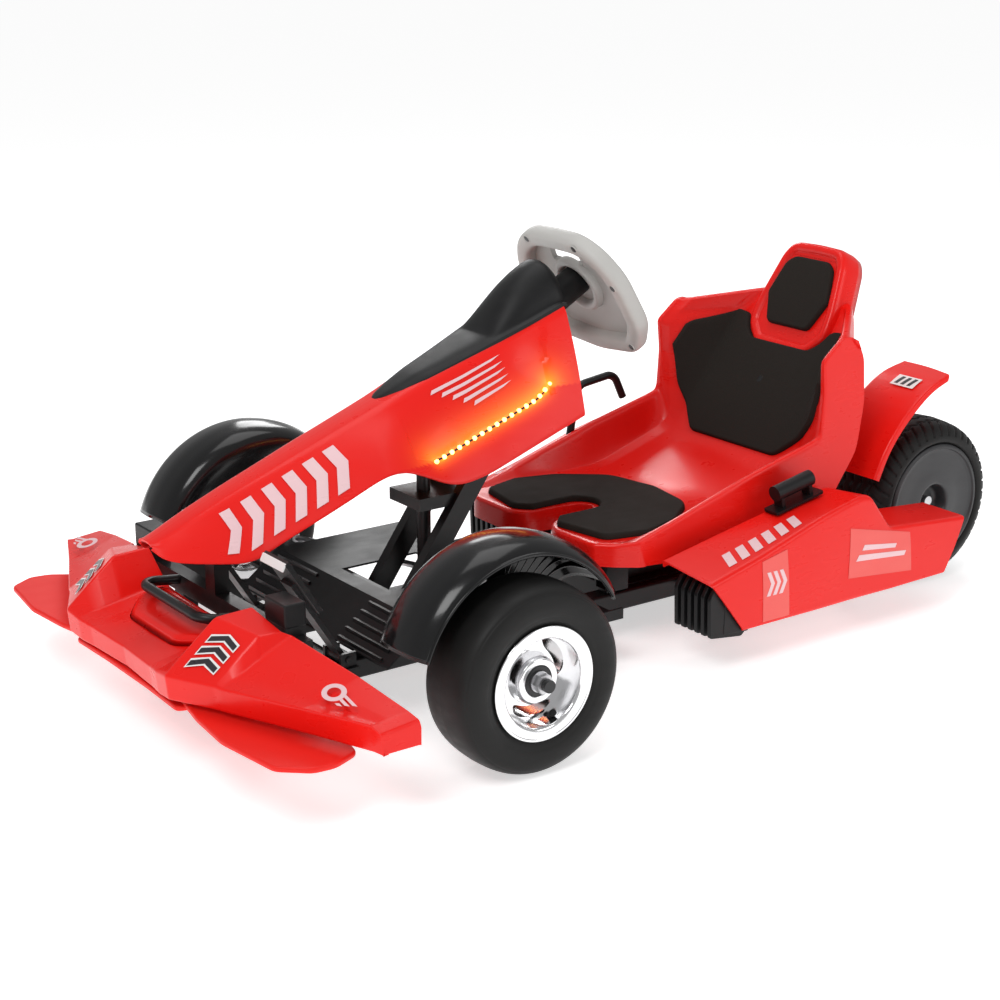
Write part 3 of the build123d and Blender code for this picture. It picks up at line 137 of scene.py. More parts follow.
class Body:
    """Gathers grids and rings into one mesh, then finishes it as one piece."""

    def __init__(self, name):
        self.name, self.points, self.faces, self.count = name, [], [], 0

    def grid(self, grid, closed_u=False, closed_v=False, ends=False):
        """Adds a grid; ends also closes its first and last rows with one face each."""
        rows, columns = grid.shape[:2]
        self.faces += quads(rows, columns, closed_u, closed_v, self.count).tolist()
        if ends:
            self.faces.append(list(range(self.count + columns - 1, self.count - 1, -1)))
            last = self.count + (rows - 1) * columns
            self.faces.append(list(range(last, last + columns)))
        self.points.append(grid.reshape(-1, 3))
        self.count += rows * columns
        return self

    def both(self, grid, **how):
        """Adds a grid and its mirror image."""
        return self.grid(grid, **how).grid(mirrored(grid), **how)

    def finish(self, material, body, slot, hides=(), wall=0, edge=0, angle=35, flat=False, weld=0.02):
        """Makes the mesh, gives it a wall and softened edges, puts it under its body's empty and hides the
        parts it stands for.
        """
        mesh = bpy.data.meshes.new(self.name)
        mesh.from_pydata((np.concatenate(self.points) * UNITS).tolist(), [], self.faces)
        work = bmesh.new()
        work.from_mesh(mesh)
        bmesh.ops.remove_doubles(work, verts=work.verts, dist=weld * UNITS)
        bmesh.ops.dissolve_degenerate(work, edges=work.edges, dist=1e-6)
        bmesh.ops.recalc_face_normals(work, faces=work.faces)
        work.to_mesh(mesh)
        work.free()
        mesh.polygons.foreach_set("use_smooth", np.full(len(mesh.polygons), not flat))
        piece = bpy.data.objects.new(self.name, mesh)
        bpy.context.scene.collection.objects.link(piece)
        mesh.materials.append(material)
        if wall:
            solid = piece.modifiers.new("wall", "SOLIDIFY")
            solid.thickness, solid.offset = abs(wall) * UNITS, -1 if wall > 0 else 1
        if edge:
            bevel = piece.modifiers.new("edges", "BEVEL")
            bevel.width, bevel.segments, bevel.limit_method = edge * UNITS, 3, "ANGLE"
            bevel.angle_limit = math.radians(angle)
        if not flat:
            shade = piece.modifiers.new("shading", "WEIGHTED_NORMAL")
            shade.keep_sharp = True
        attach(piece, body)
        if hides:
            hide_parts(*([hides] if isinstance(hides, str) else hides))
        return piece


def frame_on(origin, across, up):
    """Columns across, up and outward of a flat work plane, with its origin."""
    across = np.asarray(across, float) / np.linalg.norm(across)
    up = np.asarray(up, float) - across * np.dot(across, up)
    up /= np.linalg.norm(up)
    return np.asarray(origin, float), np.stack([across, up, np.cross(across, up)])


def lay(points, plane):
    """Points (across, up, outward) of a work plane, in the kart's frame."""
    origin, axes = plane
    points = np.asarray(points, float)
    if points.shape[-1] == 2:
        points = np.concatenate([points, np.zeros(points.shape[:-1] + (1,))], -1)
    return origin + points @ axes


def inward(outline):
    """Mitred inward directions of a closed flat outline that runs anticlockwise."""
    ahead = np.roll(outline, -1, 0) - outline
    ahead /= np.linalg.norm(ahead, axis=1, keepdims=True) + 1e-9
    left = np.stack([-ahead[:, 1], ahead[:, 0]], 1)
    both = left + np.roll(left, 1, 0)
    return both / np.maximum((both * left).sum(1, keepdims=True), 0.6)


def slab(outline, plane, profile):
    """Edge profile (inset, height) carried round a flat outline: point = outline + inset*inward, raised."""
    outline = np.asarray(outline, float)
    area = np.sum(outline[:, 0] * np.roll(outline[:, 1], -1) - np.roll(outline[:, 0], -1) * outline[:, 1])
    outline = outline if area > 0 else outline[::-1]
    profile = np.asarray(profile, float)
    flat = outline[None] + profile[:, :1, None] * inward(outline)[None]
    high = np.broadcast_to(profile[:, 1][:, None, None], flat.shape[:2] + (1,))
    return lay(np.concatenate([flat, high], -1), plane)


def edge_round(thick, radius, steps=5):
    """Profile of a slab of a thickness whose two edges are quarter circles."""
    a = np.linspace(0, math.pi / 2, steps)
    low = np.stack([radius - radius * np.sin(a), radius - radius * np.cos(a)], 1)
    high = np.stack([radius - radius * np.cos(a), thick - radius + radius * np.sin(a)], 1)
    return np.vstack([low, high])


def lathe(profile, centre, turns=96, start=0.0, sweep=360.0):
    """Grid of a profile (along X, radius) turned about the X axis line through the centre."""
    angle = np.radians(start + np.linspace(0, sweep, turns, endpoint=sweep < 360))[:, None]
    profile = np.asarray(profile, float)
    x = np.broadcast_to(profile[:, 0], (turns, len(profile)))
    return np.stack([x, -profile[:, 1] * np.cos(angle), profile[:, 1] * np.sin(angle)], -1) + centre


def tube(path, radius, sides=14, closed=False):
    """Circle carried along a path, in the plane across its tangent, turned least about it."""
    path = np.asarray(path, float)
    tangent = np.gradient(path, axis=0)
    if closed:
        tangent = np.roll(path, -1, 0) - np.roll(path, 1, 0)
    tangent /= np.linalg.norm(tangent, axis=1, keepdims=True)
    fixed = np.eye(3)[np.argmin(np.abs(tangent).max(0))]
    one = np.cross(tangent, fixed)
    one /= np.linalg.norm(one, axis=1, keepdims=True)
    two = np.cross(tangent, one)
    a = np.linspace(0, 2 * math.pi, sides, endpoint=False)[None, :, None]
    radius = np.broadcast_to(radius, len(path))[:, None, None]
    return path[:, None] + radius * (np.cos(a) * one[:, None] + np.sin(a) * two[:, None])


# ---------------------------------------------------------------- finishes
def new_group(name, inputs, outputs):
    """Empty shader group with float inputs (name, default) and float outputs."""
    group = bpy.data.node_groups.new(name, "ShaderNodeTree")
    for label, value in inputs:
        socket = group.interface.new_socket(name=label, in_out="INPUT", socket_type="NodeSocketFloat")
        socket.default_value = value
    for label in outputs:
        group.interface.new_socket(name=label, in_out="OUTPUT", socket_type="NodeSocketFloat")
    return group, group.nodes.new("NodeGroupInput"), group.nodes.new("NodeGroupOutput")


def set_inputs(tree, node, **inputs):
    """Links or sets a node's inputs by name, with an underscore for each space."""
    for label, value in inputs.items():
        socket = node.inputs[label.replace("_", " ")]
        if isinstance(value, bpy.types.NodeSocket):
            tree.links.new(value, socket)
        else:
            socket.default_value = value
    return node


def add_node(tree, kind, **inputs):
    """New shader node with its inputs linked or set."""
    return set_inputs(tree, tree.nodes.new("ShaderNode" + kind), **inputs)


def math_node(tree, kind, *values):
    """Math node whose inputs are sockets or numbers."""
    node = add_node(tree, "Math")
    node.operation = kind
    for socket, value in zip(node.inputs, values):
        if isinstance(value, bpy.types.NodeSocket):
            tree.links.new(value, socket)
        else:
            socket.default_value = value
    return node.outputs[0]


def build_grain():
    """Moulded or cast grain: fine noise and small cells, both on object coordinates."""
    group, given, result = new_group("moulded_grain", [("Size", 900.0), ("Cells", 0.4)], ["Height", "Mask"])
    place, size = add_node(group, "TexCoord").outputs["Object"], given.outputs["Size"]
    noise = add_node(group, "TexNoise", Vector=place, Scale=size, Detail=3).outputs["Fac"]
    cells = add_node(group, "TexVoronoi", Vector=place, Scale=math_node(group, "MULTIPLY", size, 0.6))
    pits = math_node(group, "MULTIPLY", cells.outputs["Distance"], given.outputs["Cells"])
    set_inputs(group, result, Height=math_node(group, "ADD", noise, pits), Mask=noise)
    return group


def build_handling():
    """Uneven gloss from handling: broad clouds with faint long scuffs, as a roughness and a mask."""
    group, given, result = new_group("handling", [("Scale", 9.0), ("Low", 0.2), ("High", 0.35)],
                                     ["Roughness", "Mask"])
    place, scale = add_node(group, "TexCoord").outputs["Object"], given.outputs["Scale"]
    clouds = add_node(group, "TexNoise", Vector=place, Scale=scale, Detail=5)
    drawn = add_node(group, "Mapping", Vector=place, Scale=(1.0, 0.6, 2.2))
    scuffs = add_node(group, "TexNoise", Vector=drawn.outputs["Vector"], Detail=2,
                      Scale=math_node(group, "MULTIPLY", scale, 5.0))
    total = math_node(group, "ADD", clouds.outputs["Fac"], scuffs.outputs["Fac"])
    both = math_node(group, "MULTIPLY", total, 0.5)
    spread = add_node(group, "MapRange", Value=both, From_Min=0.35, From_Max=0.65,
                      To_Min=given.outputs["Low"], To_Max=given.outputs["High"])
    set_inputs(group, result, Roughness=spread.outputs["Result"], Mask=both)
    return group


GRAIN, HANDLING = build_grain(), build_handling()


def use_group(tree, group, **values):
    """Places a shared group in a material with its own values."""
    node = tree.nodes.new("ShaderNodeGroup")
    node.node_tree = group
    return set_inputs(tree, node, **values)


def colour_mix(tree, factor, first, second, kind="MIX"):
    """Mix of two colours by a socket."""
    node = tree.nodes.new("ShaderNodeMix")
    node.data_type, node.blend_type = "RGBA", kind
    tree.links.new(factor, node.inputs["Factor"])
    for socket, value in ((node.inputs["A"], first), (node.inputs["B"], second)):
        if isinstance(value, bpy.types.NodeSocket):
            tree.links.new(value, socket)
        else:
            socket.default_value = (*value, 1)
    return node.outputs["Result"]


def finish_for(name, colour, tint, rough, grain, depth, metallic=0.0, coat=0.0, cells=0.4, broad=9.0,
               **constants):
    """Material: two close colours by the handling clouds, roughness from them, bump from the grain."""
    material = bpy.data.materials.new(name)
    material.use_nodes = True
    tree = material.node_tree
    handling = use_group(tree, HANDLING, Scale=broad, Low=rough[0], High=rough[1])
    texture = use_group(tree, GRAIN, Size=grain, Cells=cells)
    bump = add_node(tree, "Bump", Strength=0.6, Distance=depth * UNITS, Height=texture.outputs["Height"])
    set_inputs(tree, tree.nodes["Principled BSDF"], Metallic=metallic, Coat_Weight=coat,
               Base_Color=colour_mix(tree, handling.outputs["Mask"], colour, tint),
               Roughness=handling.outputs["Roughness"], Normal=bump.outputs["Normal"], **constants)
    return material


RED_LOOK = ((0.84, 0.010, 0.006), (0.79, 0.008, 0.005), (0.26, 0.33), 500, 0.003)
RED_GLOSS = {"coat": 0.08, "Coat_Roughness": 0.12, "IOR": 1.45, "Specular_IOR_Level": 0.32}
red = finish_for("moulded_red", *RED_LOOK, **RED_GLOSS)
matt_red = finish_for("satin_red", (0.84, 0.016, 0.010), (0.80, 0.013, 0.008), (0.42, 0.48), 500, 0.008,
                      IOR=1.42, Specular_IOR_Level=0.35)
black = finish_for("moulded_black", (0.006, 0.006, 0.0065), (0.010, 0.010, 0.0105), (0.34, 0.46), 1400, 0.12,
                   IOR=1.45,
                   Specular_IOR_Level=0.3)
gloss_black = finish_for("guard_black", (0.004, 0.004, 0.0045), (0.006, 0.006, 0.0065), (0.14, 0.22), 320,
                         0.03,
                         coat=0.2, Coat_Roughness=0.08, Specular_IOR_Level=0.3)
powder = finish_for("powder_black", (0.007, 0.007, 0.0075), (0.011, 0.011, 0.0115), (0.28, 0.38), 1900, 0.10,
                    Specular_IOR_Level=0.3)
foam = finish_for("foam_mat", (0.017, 0.014, 0.012), (0.024, 0.020, 0.017), (0.80, 0.93), 1100, 0.30,
                  cells=0.9,
                  IOR=1.35, Specular_IOR_Level=0.25)
grip_grey = finish_for("wheel_grey", (0.50, 0.49, 0.47), (0.46, 0.45, 0.43), (0.42, 0.52), 1100, 0.08)
rubber = finish_for("tyre_rubber", (0.007, 0.007, 0.007), (0.012, 0.0115, 0.011), (0.46, 0.60), 800, 0.14,
                    IOR=1.42,
                    Specular_IOR_Level=0.3)
zinc = finish_for("zinc_steel", (0.62, 0.62, 0.63), (0.50, 0.50, 0.52), (0.24, 0.40), 900, 0.03, metallic=1.0)
dark_steel = finish_for("black_steel", (0.03, 0.03, 0.031), (0.045, 0.045, 0.046), (0.30, 0.45), 1500, 0.06,
                        metallic=0.6)
satin_alloy = finish_for("satin_alloy", (0.50, 0.50, 0.52), (0.42, 0.42, 0.44), (0.32, 0.45), 900, 0.05,
                         metallic=1.0)
cover_grey = finish_for("cover_grey", (0.022, 0.022, 0.024), (0.017, 0.017, 0.019), (0.36, 0.46), 1300, 0.10)
pale = finish_for("printed_pink", (0.86, 0.60, 0.62), (0.80, 0.52, 0.55), (0.25, 0.35), 500, 0.01)
white = finish_for("printed_white", (0.86, 0.85, 0.84), (0.80, 0.79, 0.78), (0.25, 0.35), 500, 0.01)
ink = finish_for("printed_black", (0.016, 0.014, 0.018), (0.03, 0.025, 0.03), (0.25, 0.35), 500, 0.01)
film = finish_for("clear_film", (0.86, 0.11, 0.09), (0.82, 0.08, 0.07), (0.30, 0.42), 500, 0.01)


def turned_alloy():
    """Polished wheel alloy with fine lathe marks: noise that changes only with distance from the axle."""
    material = finish_for("turned_alloy", (0.88, 0.88, 0.89), (0.80, 0.80, 0.81), (0.08, 0.16), 500, 0.01,
                          metallic=1.0)
    tree = material.node_tree
    spot = tree.nodes.new("ShaderNodeUVMap")
    spot.uv_map = "turned"
    stretch = add_node(tree, "Mapping", Vector=spot.outputs["UV"], Scale=(1.5, 320.0, 1.0))
    marks = add_node(tree, "TexNoise", Vector=stretch.outputs["Vector"], Scale=3.0)
    set_inputs(tree, tree.nodes["Bump"], Distance=0.03 * UNITS, Height=marks.outputs["Fac"])
    return material


def glowing(material, factor, cool, warm, strength):
    """Adds emission between two colours by a factor to a material."""
    tree = material.node_tree
    set_inputs(tree, tree.nodes["Principled BSDF"], Emission_Strength=strength,
               Emission_Color=colour_mix(tree, factor, cool, warm))
    return material


def red_painted_light():
    """The fairing's red with a painted amber glow: emission weighted by the distance to the strip's line
    paints the strips' light onto the panel.
    """
    material = finish_for("red_painted_light", *RED_LOOK, **RED_GLOSS)
    painted_light_weight = material.node_tree.nodes.new("ShaderNodeAttribute")
    painted_light_weight.attribute_name = "painted_light_weight"
    return glowing(material, painted_light_weight.outputs["Fac"], (0.0, 0.0, 0.0), (1.0, 0.30, 0.02), 2.0)


def lit_amber():
    """Lit bead: bright amber with a slightly paler heart by a small noise."""
    material = finish_for("lit_amber", (1.0, 0.62, 0.12), (1.0, 0.7, 0.2), (0.2, 0.3), 300, 0.01)
    place = add_node(material.node_tree, "TexCoord").outputs["Object"]
    mask = add_node(material.node_tree, "TexNoise", Vector=place, Scale=120)
    return glowing(material, mask.outputs["Fac"], (1.0, 0.50, 0.05), (1.0, 0.78, 0.25), 5.0)


alloy, painted_light_panel, amber = turned_alloy(), red_painted_light(), lit_amber()
CAD_LOOKS = (
    (powder, "frame_rails frame_crossmembers front_axle_beam steering_struts rear_axle_bracket battery_tray "
             "seat_brackets fender_brackets bumper_bar front_hoop pedal_brackets brake_lever"),
    (zinc, "kingpin_bolts steering_column tie_rod_left tie_rod_right motor_axles frame_bolts axle_nut_left "
           "axle_nut_right"),
    (dark_steel, "steering_coupler steering_spindle knuckle_left knuckle_right brake_pedal throttle_pedal "
                 "wheel_bearings_left wheel_bearings_right"),
    (black, "column_block battery_pack steering_hub side_clamp floor_pan power_button"),
    (satin_alloy, "motor_controller"))
for material, names in CAD_LOOKS:
    for made in (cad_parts[name] for name in names.split()):
        if not made.material_slots:
            made.data.materials.append(material)
        for spot in made.material_slots:
            spot.material = material

# ---------------------------------------------------------------- nose fairing
# rows from the tip to the rear: (y, half crest, crest z, half bottom, bottom z)
NOSE = np.array([(-686, 14, 266, 22, 258), (-672, 18, 270, 40, 243), (-624, 21, 292, 58, 236),
                 (-569, 22, 315, 76, 231),
                 (-532, 23, 329, 84, 252), (-444, 24, 363, 96, 292), (-377, 25, 388, 102, 323),
                 (-348, 26, 399, 104, 325),
                 (-325, 27, 408, 106, 318), (-268, 34, 431, 111, 292), (-218, 41, 450, 112, 299),
                 (-48, 62, 517, 112, 360)], float)


def fairing_half():
    """Left half: crest, side and a small turned-in hem, between rows along the nose; dense on the side."""
    y, crest, high, low, bottom = NOSE.T[:, :, None]
    zero = np.zeros_like(y)
    across = np.concatenate([zero, crest * 0.5, crest, crest + (low - crest) * 0.5, low, low - 7], 1)
    up = np.concatenate([high, high - 0.4, high - 2, (high + bottom) / 2 + 3, bottom, bottom - 1], 1)
    net = np.stack([across, np.broadcast_to(y, across.shape), up], -1)
    net[-1, :, 1] += (0, 0, 0, 4, 2, 2)
    return soften(net, 26, (0, 6, 9, 30, 5, 0), steps=7)


LED_LINE = soften_line([(92.6, -318, 336), (92.6, -290, 328), (91.6, -116, 391), (84, -90, 404),
                        (78, -92, 440)], 16)


def nearest_on(line, points):
    """Distance of every point to a polyline and the share of the way along where it is nearest."""
    start, run = line[:-1], np.diff(line, axis=0)
    rel = points[..., None, :] - start
    share = np.clip((rel * run).sum(-1) / (run ** 2).sum(-1), 0, 1)
    gap = np.linalg.norm(rel - share[..., None] * run, axis=-1)
    best = gap.argmin(-1)
    return gap.min(-1), (best + np.take_along_axis(share, best[..., None], -1)[..., 0]) / len(run)


def build_fairing():
    """Dense fairing with the panel above the strip sunk up to 5 mm: depth falls off away from the strip."""
    half = denser(denser(fairing_half(), 0, 5), 1, 4)
    gap, _ = nearest_on(LED_LINE[:, 1:], half[..., 1:])
    crest_z = np.interp(half[..., 1], NOSE[:, 0], NOSE[:, 2])
    line_z = np.interp(half[..., 1], LED_LINE[:-6, 1], LED_LINE[:-6, 2])
    inside = (half[..., 2] > line_z) & (half[..., 1] < -88) & (half[..., 1] > -320) & (half[...,
                                                                                            2] < crest_z - 12)
    sink = np.where(inside, np.minimum(gap / 3, 1) * np.exp(-(gap / 34) ** 2) * 5.0, 0)
    half = half - np.sign(normals_of(half)[..., :1]) * normals_of(half) * sink[..., None]
    whole = full_width(half)
    fairing = Body("fairing").grid(whole).finish(painted_light_panel, "chassis", "body_red", "nose_fairing", wall=3.2,
                                                 edge=0.8, weld=0.2)
    # Painted glow: a weight per point, strongest beside the strip line and fading faster below it, drives
    # amber emission on the red panel in place of the strips' light.
    painted_light_weight = fairing.data.attributes.new("painted_light_weight", "FLOAT", "POINT")
    co = np.zeros(len(fairing.data.vertices) * 3)
    fairing.data.vertices.foreach_get("co", co)
    co = np.abs(co.reshape(-1, 3)) * (1, -1, 1) / UNITS
    lit = LED_LINE[4:-3]
    gap, _ = nearest_on(lit, co)
    above = co[:, 2] > np.interp(co[:, 1], lit[:, 1], lit[:, 2]) - 3
    painted_light_weight.data.foreach_set("value", np.where(above, np.exp(-gap / 13), np.exp(-gap / 5)).astype(np.float32))


build_fairing()


def skin_pick(grid, ahead, level, sign=1.0):
    """Function for a skin's point from (place along one axis, coordinate that runs on across columns)."""
    def one(place, height):
        line = np.stack([[np.interp(place, column[:, ahead], column[:, k]) for column in grid.transpose(1, 0,
                                                                                                        2)]
                         for k in range(3)], -1)
        return np.array([np.interp(sign * height, sign * line[:, level], line[:, k]) for k in range(3)])

    def pick(positions, lift):
        points = np.array([[one(a, b), one(a + 1, b) - one(a - 1, b), one(a, b + 1) - one(a, b - 1)]
                           for a, b in positions.reshape(-1, 2)])
        out = np.cross(points[:, 1], points[:, 2])
        out *= np.sign(out[:, :1] + out[:, 2:]) / np.linalg.norm(out, axis=-1, keepdims=True)
        return (points[:, 0] + out * lift).reshape(*positions.shape[:-1], 3)
    return pick


def printed(body, corners, pick, lift=0.45, pitch=9):
    """Thin print: four corners on two axes, filled by bilinear steps and laid on the surface."""
    a, b, c, d = np.asarray(corners, float)
    long_ = int(max(np.linalg.norm(b - a), np.linalg.norm(c - d)) / pitch) + 2
    tall = int(max(np.linalg.norm(d - a), np.linalg.norm(c - b)) / pitch) + 2
    u, v = np.meshgrid(np.linspace(0, 1, long_), np.linspace(0, 1, tall), indexing="ij")
    u, v = u[..., None], v[..., None]
    flat = (1 - u) * (1 - v) * a + u * (1 - v) * b + u * v * c + (1 - u) * v * d
    body.both(pick(flat, lift))


def flank_pick(positions, lift):
    """Point on the fairing's left flank from (y, share down the flank), raised outwards."""
    y, share = positions[..., 0], positions[..., 1]
    crest, high, low, bottom = (np.interp(y, NOSE[:, 0], NOSE[:, k]) for k in (1, 2, 3, 4))
    x = crest + (low - crest) * share
    z = high - 2 + (bottom - high + 2) * share + 3 * (1 - np.abs(2 * share - 1))
    out = np.stack([bottom * 0 + 0.82, -0.16 + 0 * y, 0.54 + 0 * y], -1)
    return np.stack([x, y, z], -1) + out * lift


flank_marks = Body("flank_marks")
for mark in range(6):
    start, size = -598 + 31 * mark, 15 + 0.5 * mark
    tip = start + 13
    printed(flank_marks, [(start, 0.84), (start + size, 0.84), (tip + size, 0.50), (tip, 0.50)], flank_pick,
            1.4, 6)
    printed(flank_marks, [(start + 5, 0.16), (start + 5 + size, 0.16), (tip + size, 0.50), (tip, 0.50)],
            flank_pick, 1.4, 6)
flank_marks.finish(pale, "chassis", "body_red", wall=-0.25)

dash_marks = Body("dash_side_marks")
for mark in range(5):
    low_y, long_ = -268 + 14 * mark, 96 - 12 * mark
    share = 0.12 + 0.065 * mark
    printed(dash_marks, [(low_y, share + 0.035), (low_y + long_, share + 0.02), (low_y + long_ + 14, share),
                         (low_y + 3, share)], flank_pick, 1.4, 6)
dash_marks.finish(pale, "chassis", "body_red", wall=-0.25)

# ---------------------------------------------------------------- dash insert and hood
DASH_Y = np.linspace(-336, -42, 66)


def dash_top(y, across):
    """Height of the black insert: a shallow crown on the ridge plus a hood.

    Hood = 52 * (1 - (1 - rise)^2.1) * (1 - (|across| / 0.86)^2.2)^0.75, rise from 0 at y = -160 to 1 at -58.
    """
    ridge = np.interp(y, NOSE[:, 0], NOSE[:, 2])
    crown = 7.0 * np.sqrt(np.clip((y + 336) / 60, 0, 1)) * (1 - across ** 4)
    rise = np.clip((y + 160) / 102, 0, 1)
    hood = 52 * (1 - (1 - rise) ** 2.1) * np.clip(1 - (np.abs(across) / 0.86) ** 2.2, 0, 1) ** 0.75
    drop = np.clip((y + 62) / 20, 0, 1) ** 2 * 14 * (1 - across ** 2)
    return ridge + crown + np.where(y > -160, hood, 0) - drop - 1.5


across = np.sin(np.linspace(-math.pi / 2, math.pi / 2, 41))
spread = np.interp(DASH_Y, [-336, -325, -300, -262, -110, -42], [3, 14, 24, 33, 55, 61])
grid_y, grid_a = np.meshgrid(DASH_Y, across, indexing="ij")
dash_grid = np.stack([grid_a * spread[:, None], grid_y, dash_top(grid_y, grid_a)], -1)
hem = dash_grid[:, [0, -1]].copy()
hem[..., 2] -= 5
dash_grid = np.concatenate([hem[:, :1], dash_grid, hem[:, 1:]], 1)
Body("dash_insert").grid(dash_grid).finish(black, "chassis", "black_plastic", "dash_cover", wall=3, edge=0.8,
                                           weld=0.2)

# ---------------------------------------------------------------- lit strips
bead_path = along(soften_line([(92.6, -290, 328), (91.6, -116, 391), (84, -90, 408)], 14), 17)
LED_OUT = np.array([0.827, -0.19, 0.529])
turn, rise = np.meshgrid(np.linspace(0, 2 * math.pi, 12, endpoint=False), np.linspace(0, math.pi, 8),
                         indexing="ij")
ball = np.stack([np.cos(turn) * np.sin(rise), np.sin(turn) * np.sin(rise), np.cos(rise)], -1)
beads = Body("lit_beads")
for centre in bead_path:
    beads.both(centre + LED_OUT * 1.6 + ball * 3.4, closed_u=True)
beads.finish(amber, "chassis", "led_amber", "led_strips")
slot_path = LED_LINE[3:15] + LED_OUT * 0.4
Body("strip_slot").both(tube(along(slot_path, 60), 1.7, 8), closed_v=True, ends=True).finish(
    gloss_black, "chassis", "black_plastic")

# ---------------------------------------------------------------- front bumper
# rows across the kart: (x, then (back from the front, z) of hem, low edge, edge, middle, top, rear, rear hem)
BUMPER = [
    (0, (25, 99), (17, 98), (13, 128), (39, 134), (70, 140), (136, 152), (138, 140)),
    (88, (20, 100), (11, 99), (7, 131), (36, 136), (68, 142), (136, 154), (138, 143)),
    (116, (14, 102), (6, 101), (2, 134), (33, 140), (70, 147), (136, 158), (138, 146)),
    (148, (12, 105), (4, 104), (0, 138), (38, 171), (73, 201), (127, 203), (131, 190)),
    (214, (46, 105), (38, 104), (33, 138), (66, 164), (99, 190), (132, 188), (136, 174)),
    (226, (50, 105), (42, 104), (37, 137), (62, 147), (92, 163), (140, 186), (144, 174)),
    (340, (100, 104), (92, 104), (88, 138), (106, 139), (128, 147), (165, 163), (169, 151)),
    (430, (137, 103), (129, 103), (126, 139), (136, 138), (150, 140), (181, 143), (185, 132)),
    (445, (141, 103), (133, 102), (132, 130), (138, 131), (152, 132), (186, 136), (188, 128)),
    (446, (141, 103), (133, 102), (134, 104), (139, 104), (146, 104), (185, 104), (187, 103))]
FRONT_Y = -739
bumper_half = np.array([[(x, FRONT_Y + back, z) for back, z in row] for x, *row in BUMPER], float)
bumper_net = full_width(bumper_half.transpose(1, 0, 2)).transpose(1, 0, 2)
bumper_grid = soften(bumper_net, 3, (1, 3, 3, 9, 4, 3, 1))
Body("bumper_skin").grid(bumper_grid).finish(red, "chassis", "body_red", "front_bumper", wall=3.5, edge=0.8)

shelf = frame_on((0, FRONT_Y + 56, 139.6), (1, 0, 0), (0, 80, 13.5))
hump_outline = soften_line([(-104, 74), (-104, 30), (-64, 0), (64, 0), (104, 30), (104, 74)], 12, True)
Body("scoop_hump").grid(slab(hump_outline, shelf, [(-3, 0), (4, 8.5), (6, 10.4), (8.5, 11.4), (13, 11.8)]),
                        closed_v=True,
                        ends=True).finish(red, "chassis", "body_red")

blade_outline = soften_line([(0, 10), (70, -4), (150, -12), (254, 2), (282, 40), (282, 72), (262, 112),
                             (218, 122), (110, 66), (40, 36)], 9, True)
blade = slab(blade_outline, frame_on((134, FRONT_Y + 16, 97), (1, 0, 0.0), (0, 1, -0.05)),
             edge_round(8, 3.2) - (0, 6))
centre_lip = slab(soften_line([(-150, 0), (-60, 3), (60, 3), (150, 0), (170, 60), (-170, 60)], 8, True),
                  frame_on((0, FRONT_Y + 12, 90), (1, 0, 0), (0, 1, 0)), edge_round(8, 3.2) - (0, 4))
Body("bumper_blades").both(blade, closed_v=True, ends=True).grid(centre_lip, closed_v=True, ends=True).finish(
    matt_red, "chassis", "body_red", "bumper_lip")


def bumper_pick(positions, lift):
    """Point of the bumper straight above a place (x, share from the front edge to the top edge)."""
    x, share = np.abs(positions[..., 0]), positions[..., 1]
    rows = np.array([row[0] for row in BUMPER[:9]], float)
    edge, middle, top = (np.array([row[k] for row in BUMPER[:9]], float) for k in (3, 4, 5))

    def between(low, high, part, k):
        return np.interp(x, rows, low[:, k]) * (1 - part) + np.interp(x, rows, high[:, k]) * part
    first, second = np.clip(share * 2, 0, 1), np.clip(share * 2 - 1, 0, 1)
    y, z = (np.where(share < 0.5, between(edge, middle, first, k), between(middle, top, second, k))
            for k in (0, 1))
    return np.stack([x, FRONT_Y + y - 0.62 * lift, z + 0.78 * lift], -1)


low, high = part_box("bumper_bar")
end_plane = frame_on((187, (low.y + high.y) / 2 / UNITS, 188), (1, 0, 0), (0, 1, 0))
end_box = slab(soften_line([(-26, -16), (26, -16), (26, 16), (-26, 16)], 3, True), end_plane,
               edge_round(32, 2.5))
Body("bar_ends").both(end_box, closed_v=True, ends=True).finish(black, "chassis", "frame_black")

PLATE_X = 184
plate_marks, plate_ink = Body("plate_marks"), Body("plate_ink")
for mark in range(3):
    low = 0.20 + 0.21 * mark
    for body, grow in ((plate_marks, 0.03), (plate_ink, 0.0)):
        wide = 60 * grow
        lift = 1.5 if body is plate_marks else 1.9
        for way in (-1, 1):
            printed(body, [(PLATE_X, low + 0.10 - grow), (PLATE_X + way * (19 + wide), low - grow),
                           (PLATE_X + way * (19 + wide), low + 0.09 + grow), (PLATE_X, low + 0.19 + grow)],
                    bumper_pick, lift, 5)
plate_marks.finish(white, "chassis", "body_red", wall=-0.2)
plate_ink.finish(ink, "chassis", "black_plastic", wall=-0.2)

wing_plane = frame_on((352, FRONT_Y + 124, 153.4), (1, -0.10, -0.125), (0, 1, 0.30))
ring_angle = np.linspace(0, 2 * math.pi, 40, endpoint=False)
wing_ring = np.stack([np.stack([r * 1.25 * np.cos(ring_angle), r * np.sin(ring_angle)], 1) for r in (15,
                                                                                                     8.5)])
wing_marks = Body("wing_marks").both(lay(wing_ring, wing_plane) + (0, 0, 0.9), closed_v=True)
for mark in range(3):
    bar = np.array([[(14 + 5 * mark, 9 - 7 * mark), (46 - 7 * mark, 9 - 7 * mark)],
                    [(10 + 5 * mark, 5 - 7 * mark), (40 - 7 * mark, 5 - 7 * mark)]], float)
    wing_marks.both(lay(bar, wing_plane) + (0, 0, 0.9))
wing_marks.finish(pale, "chassis", "body_red", wall=-0.25)

# ---------------------------------------------------------------- seat shell
# rows from under the front lip to behind the top; columns from the middle to the outer skirt, as (x, y, z)
LOBES = [(0, 56), (20, 46), (27, -40), (52, -61), (147, -61), (172, -36), (184, -20), (193, -8), (195, 2)]


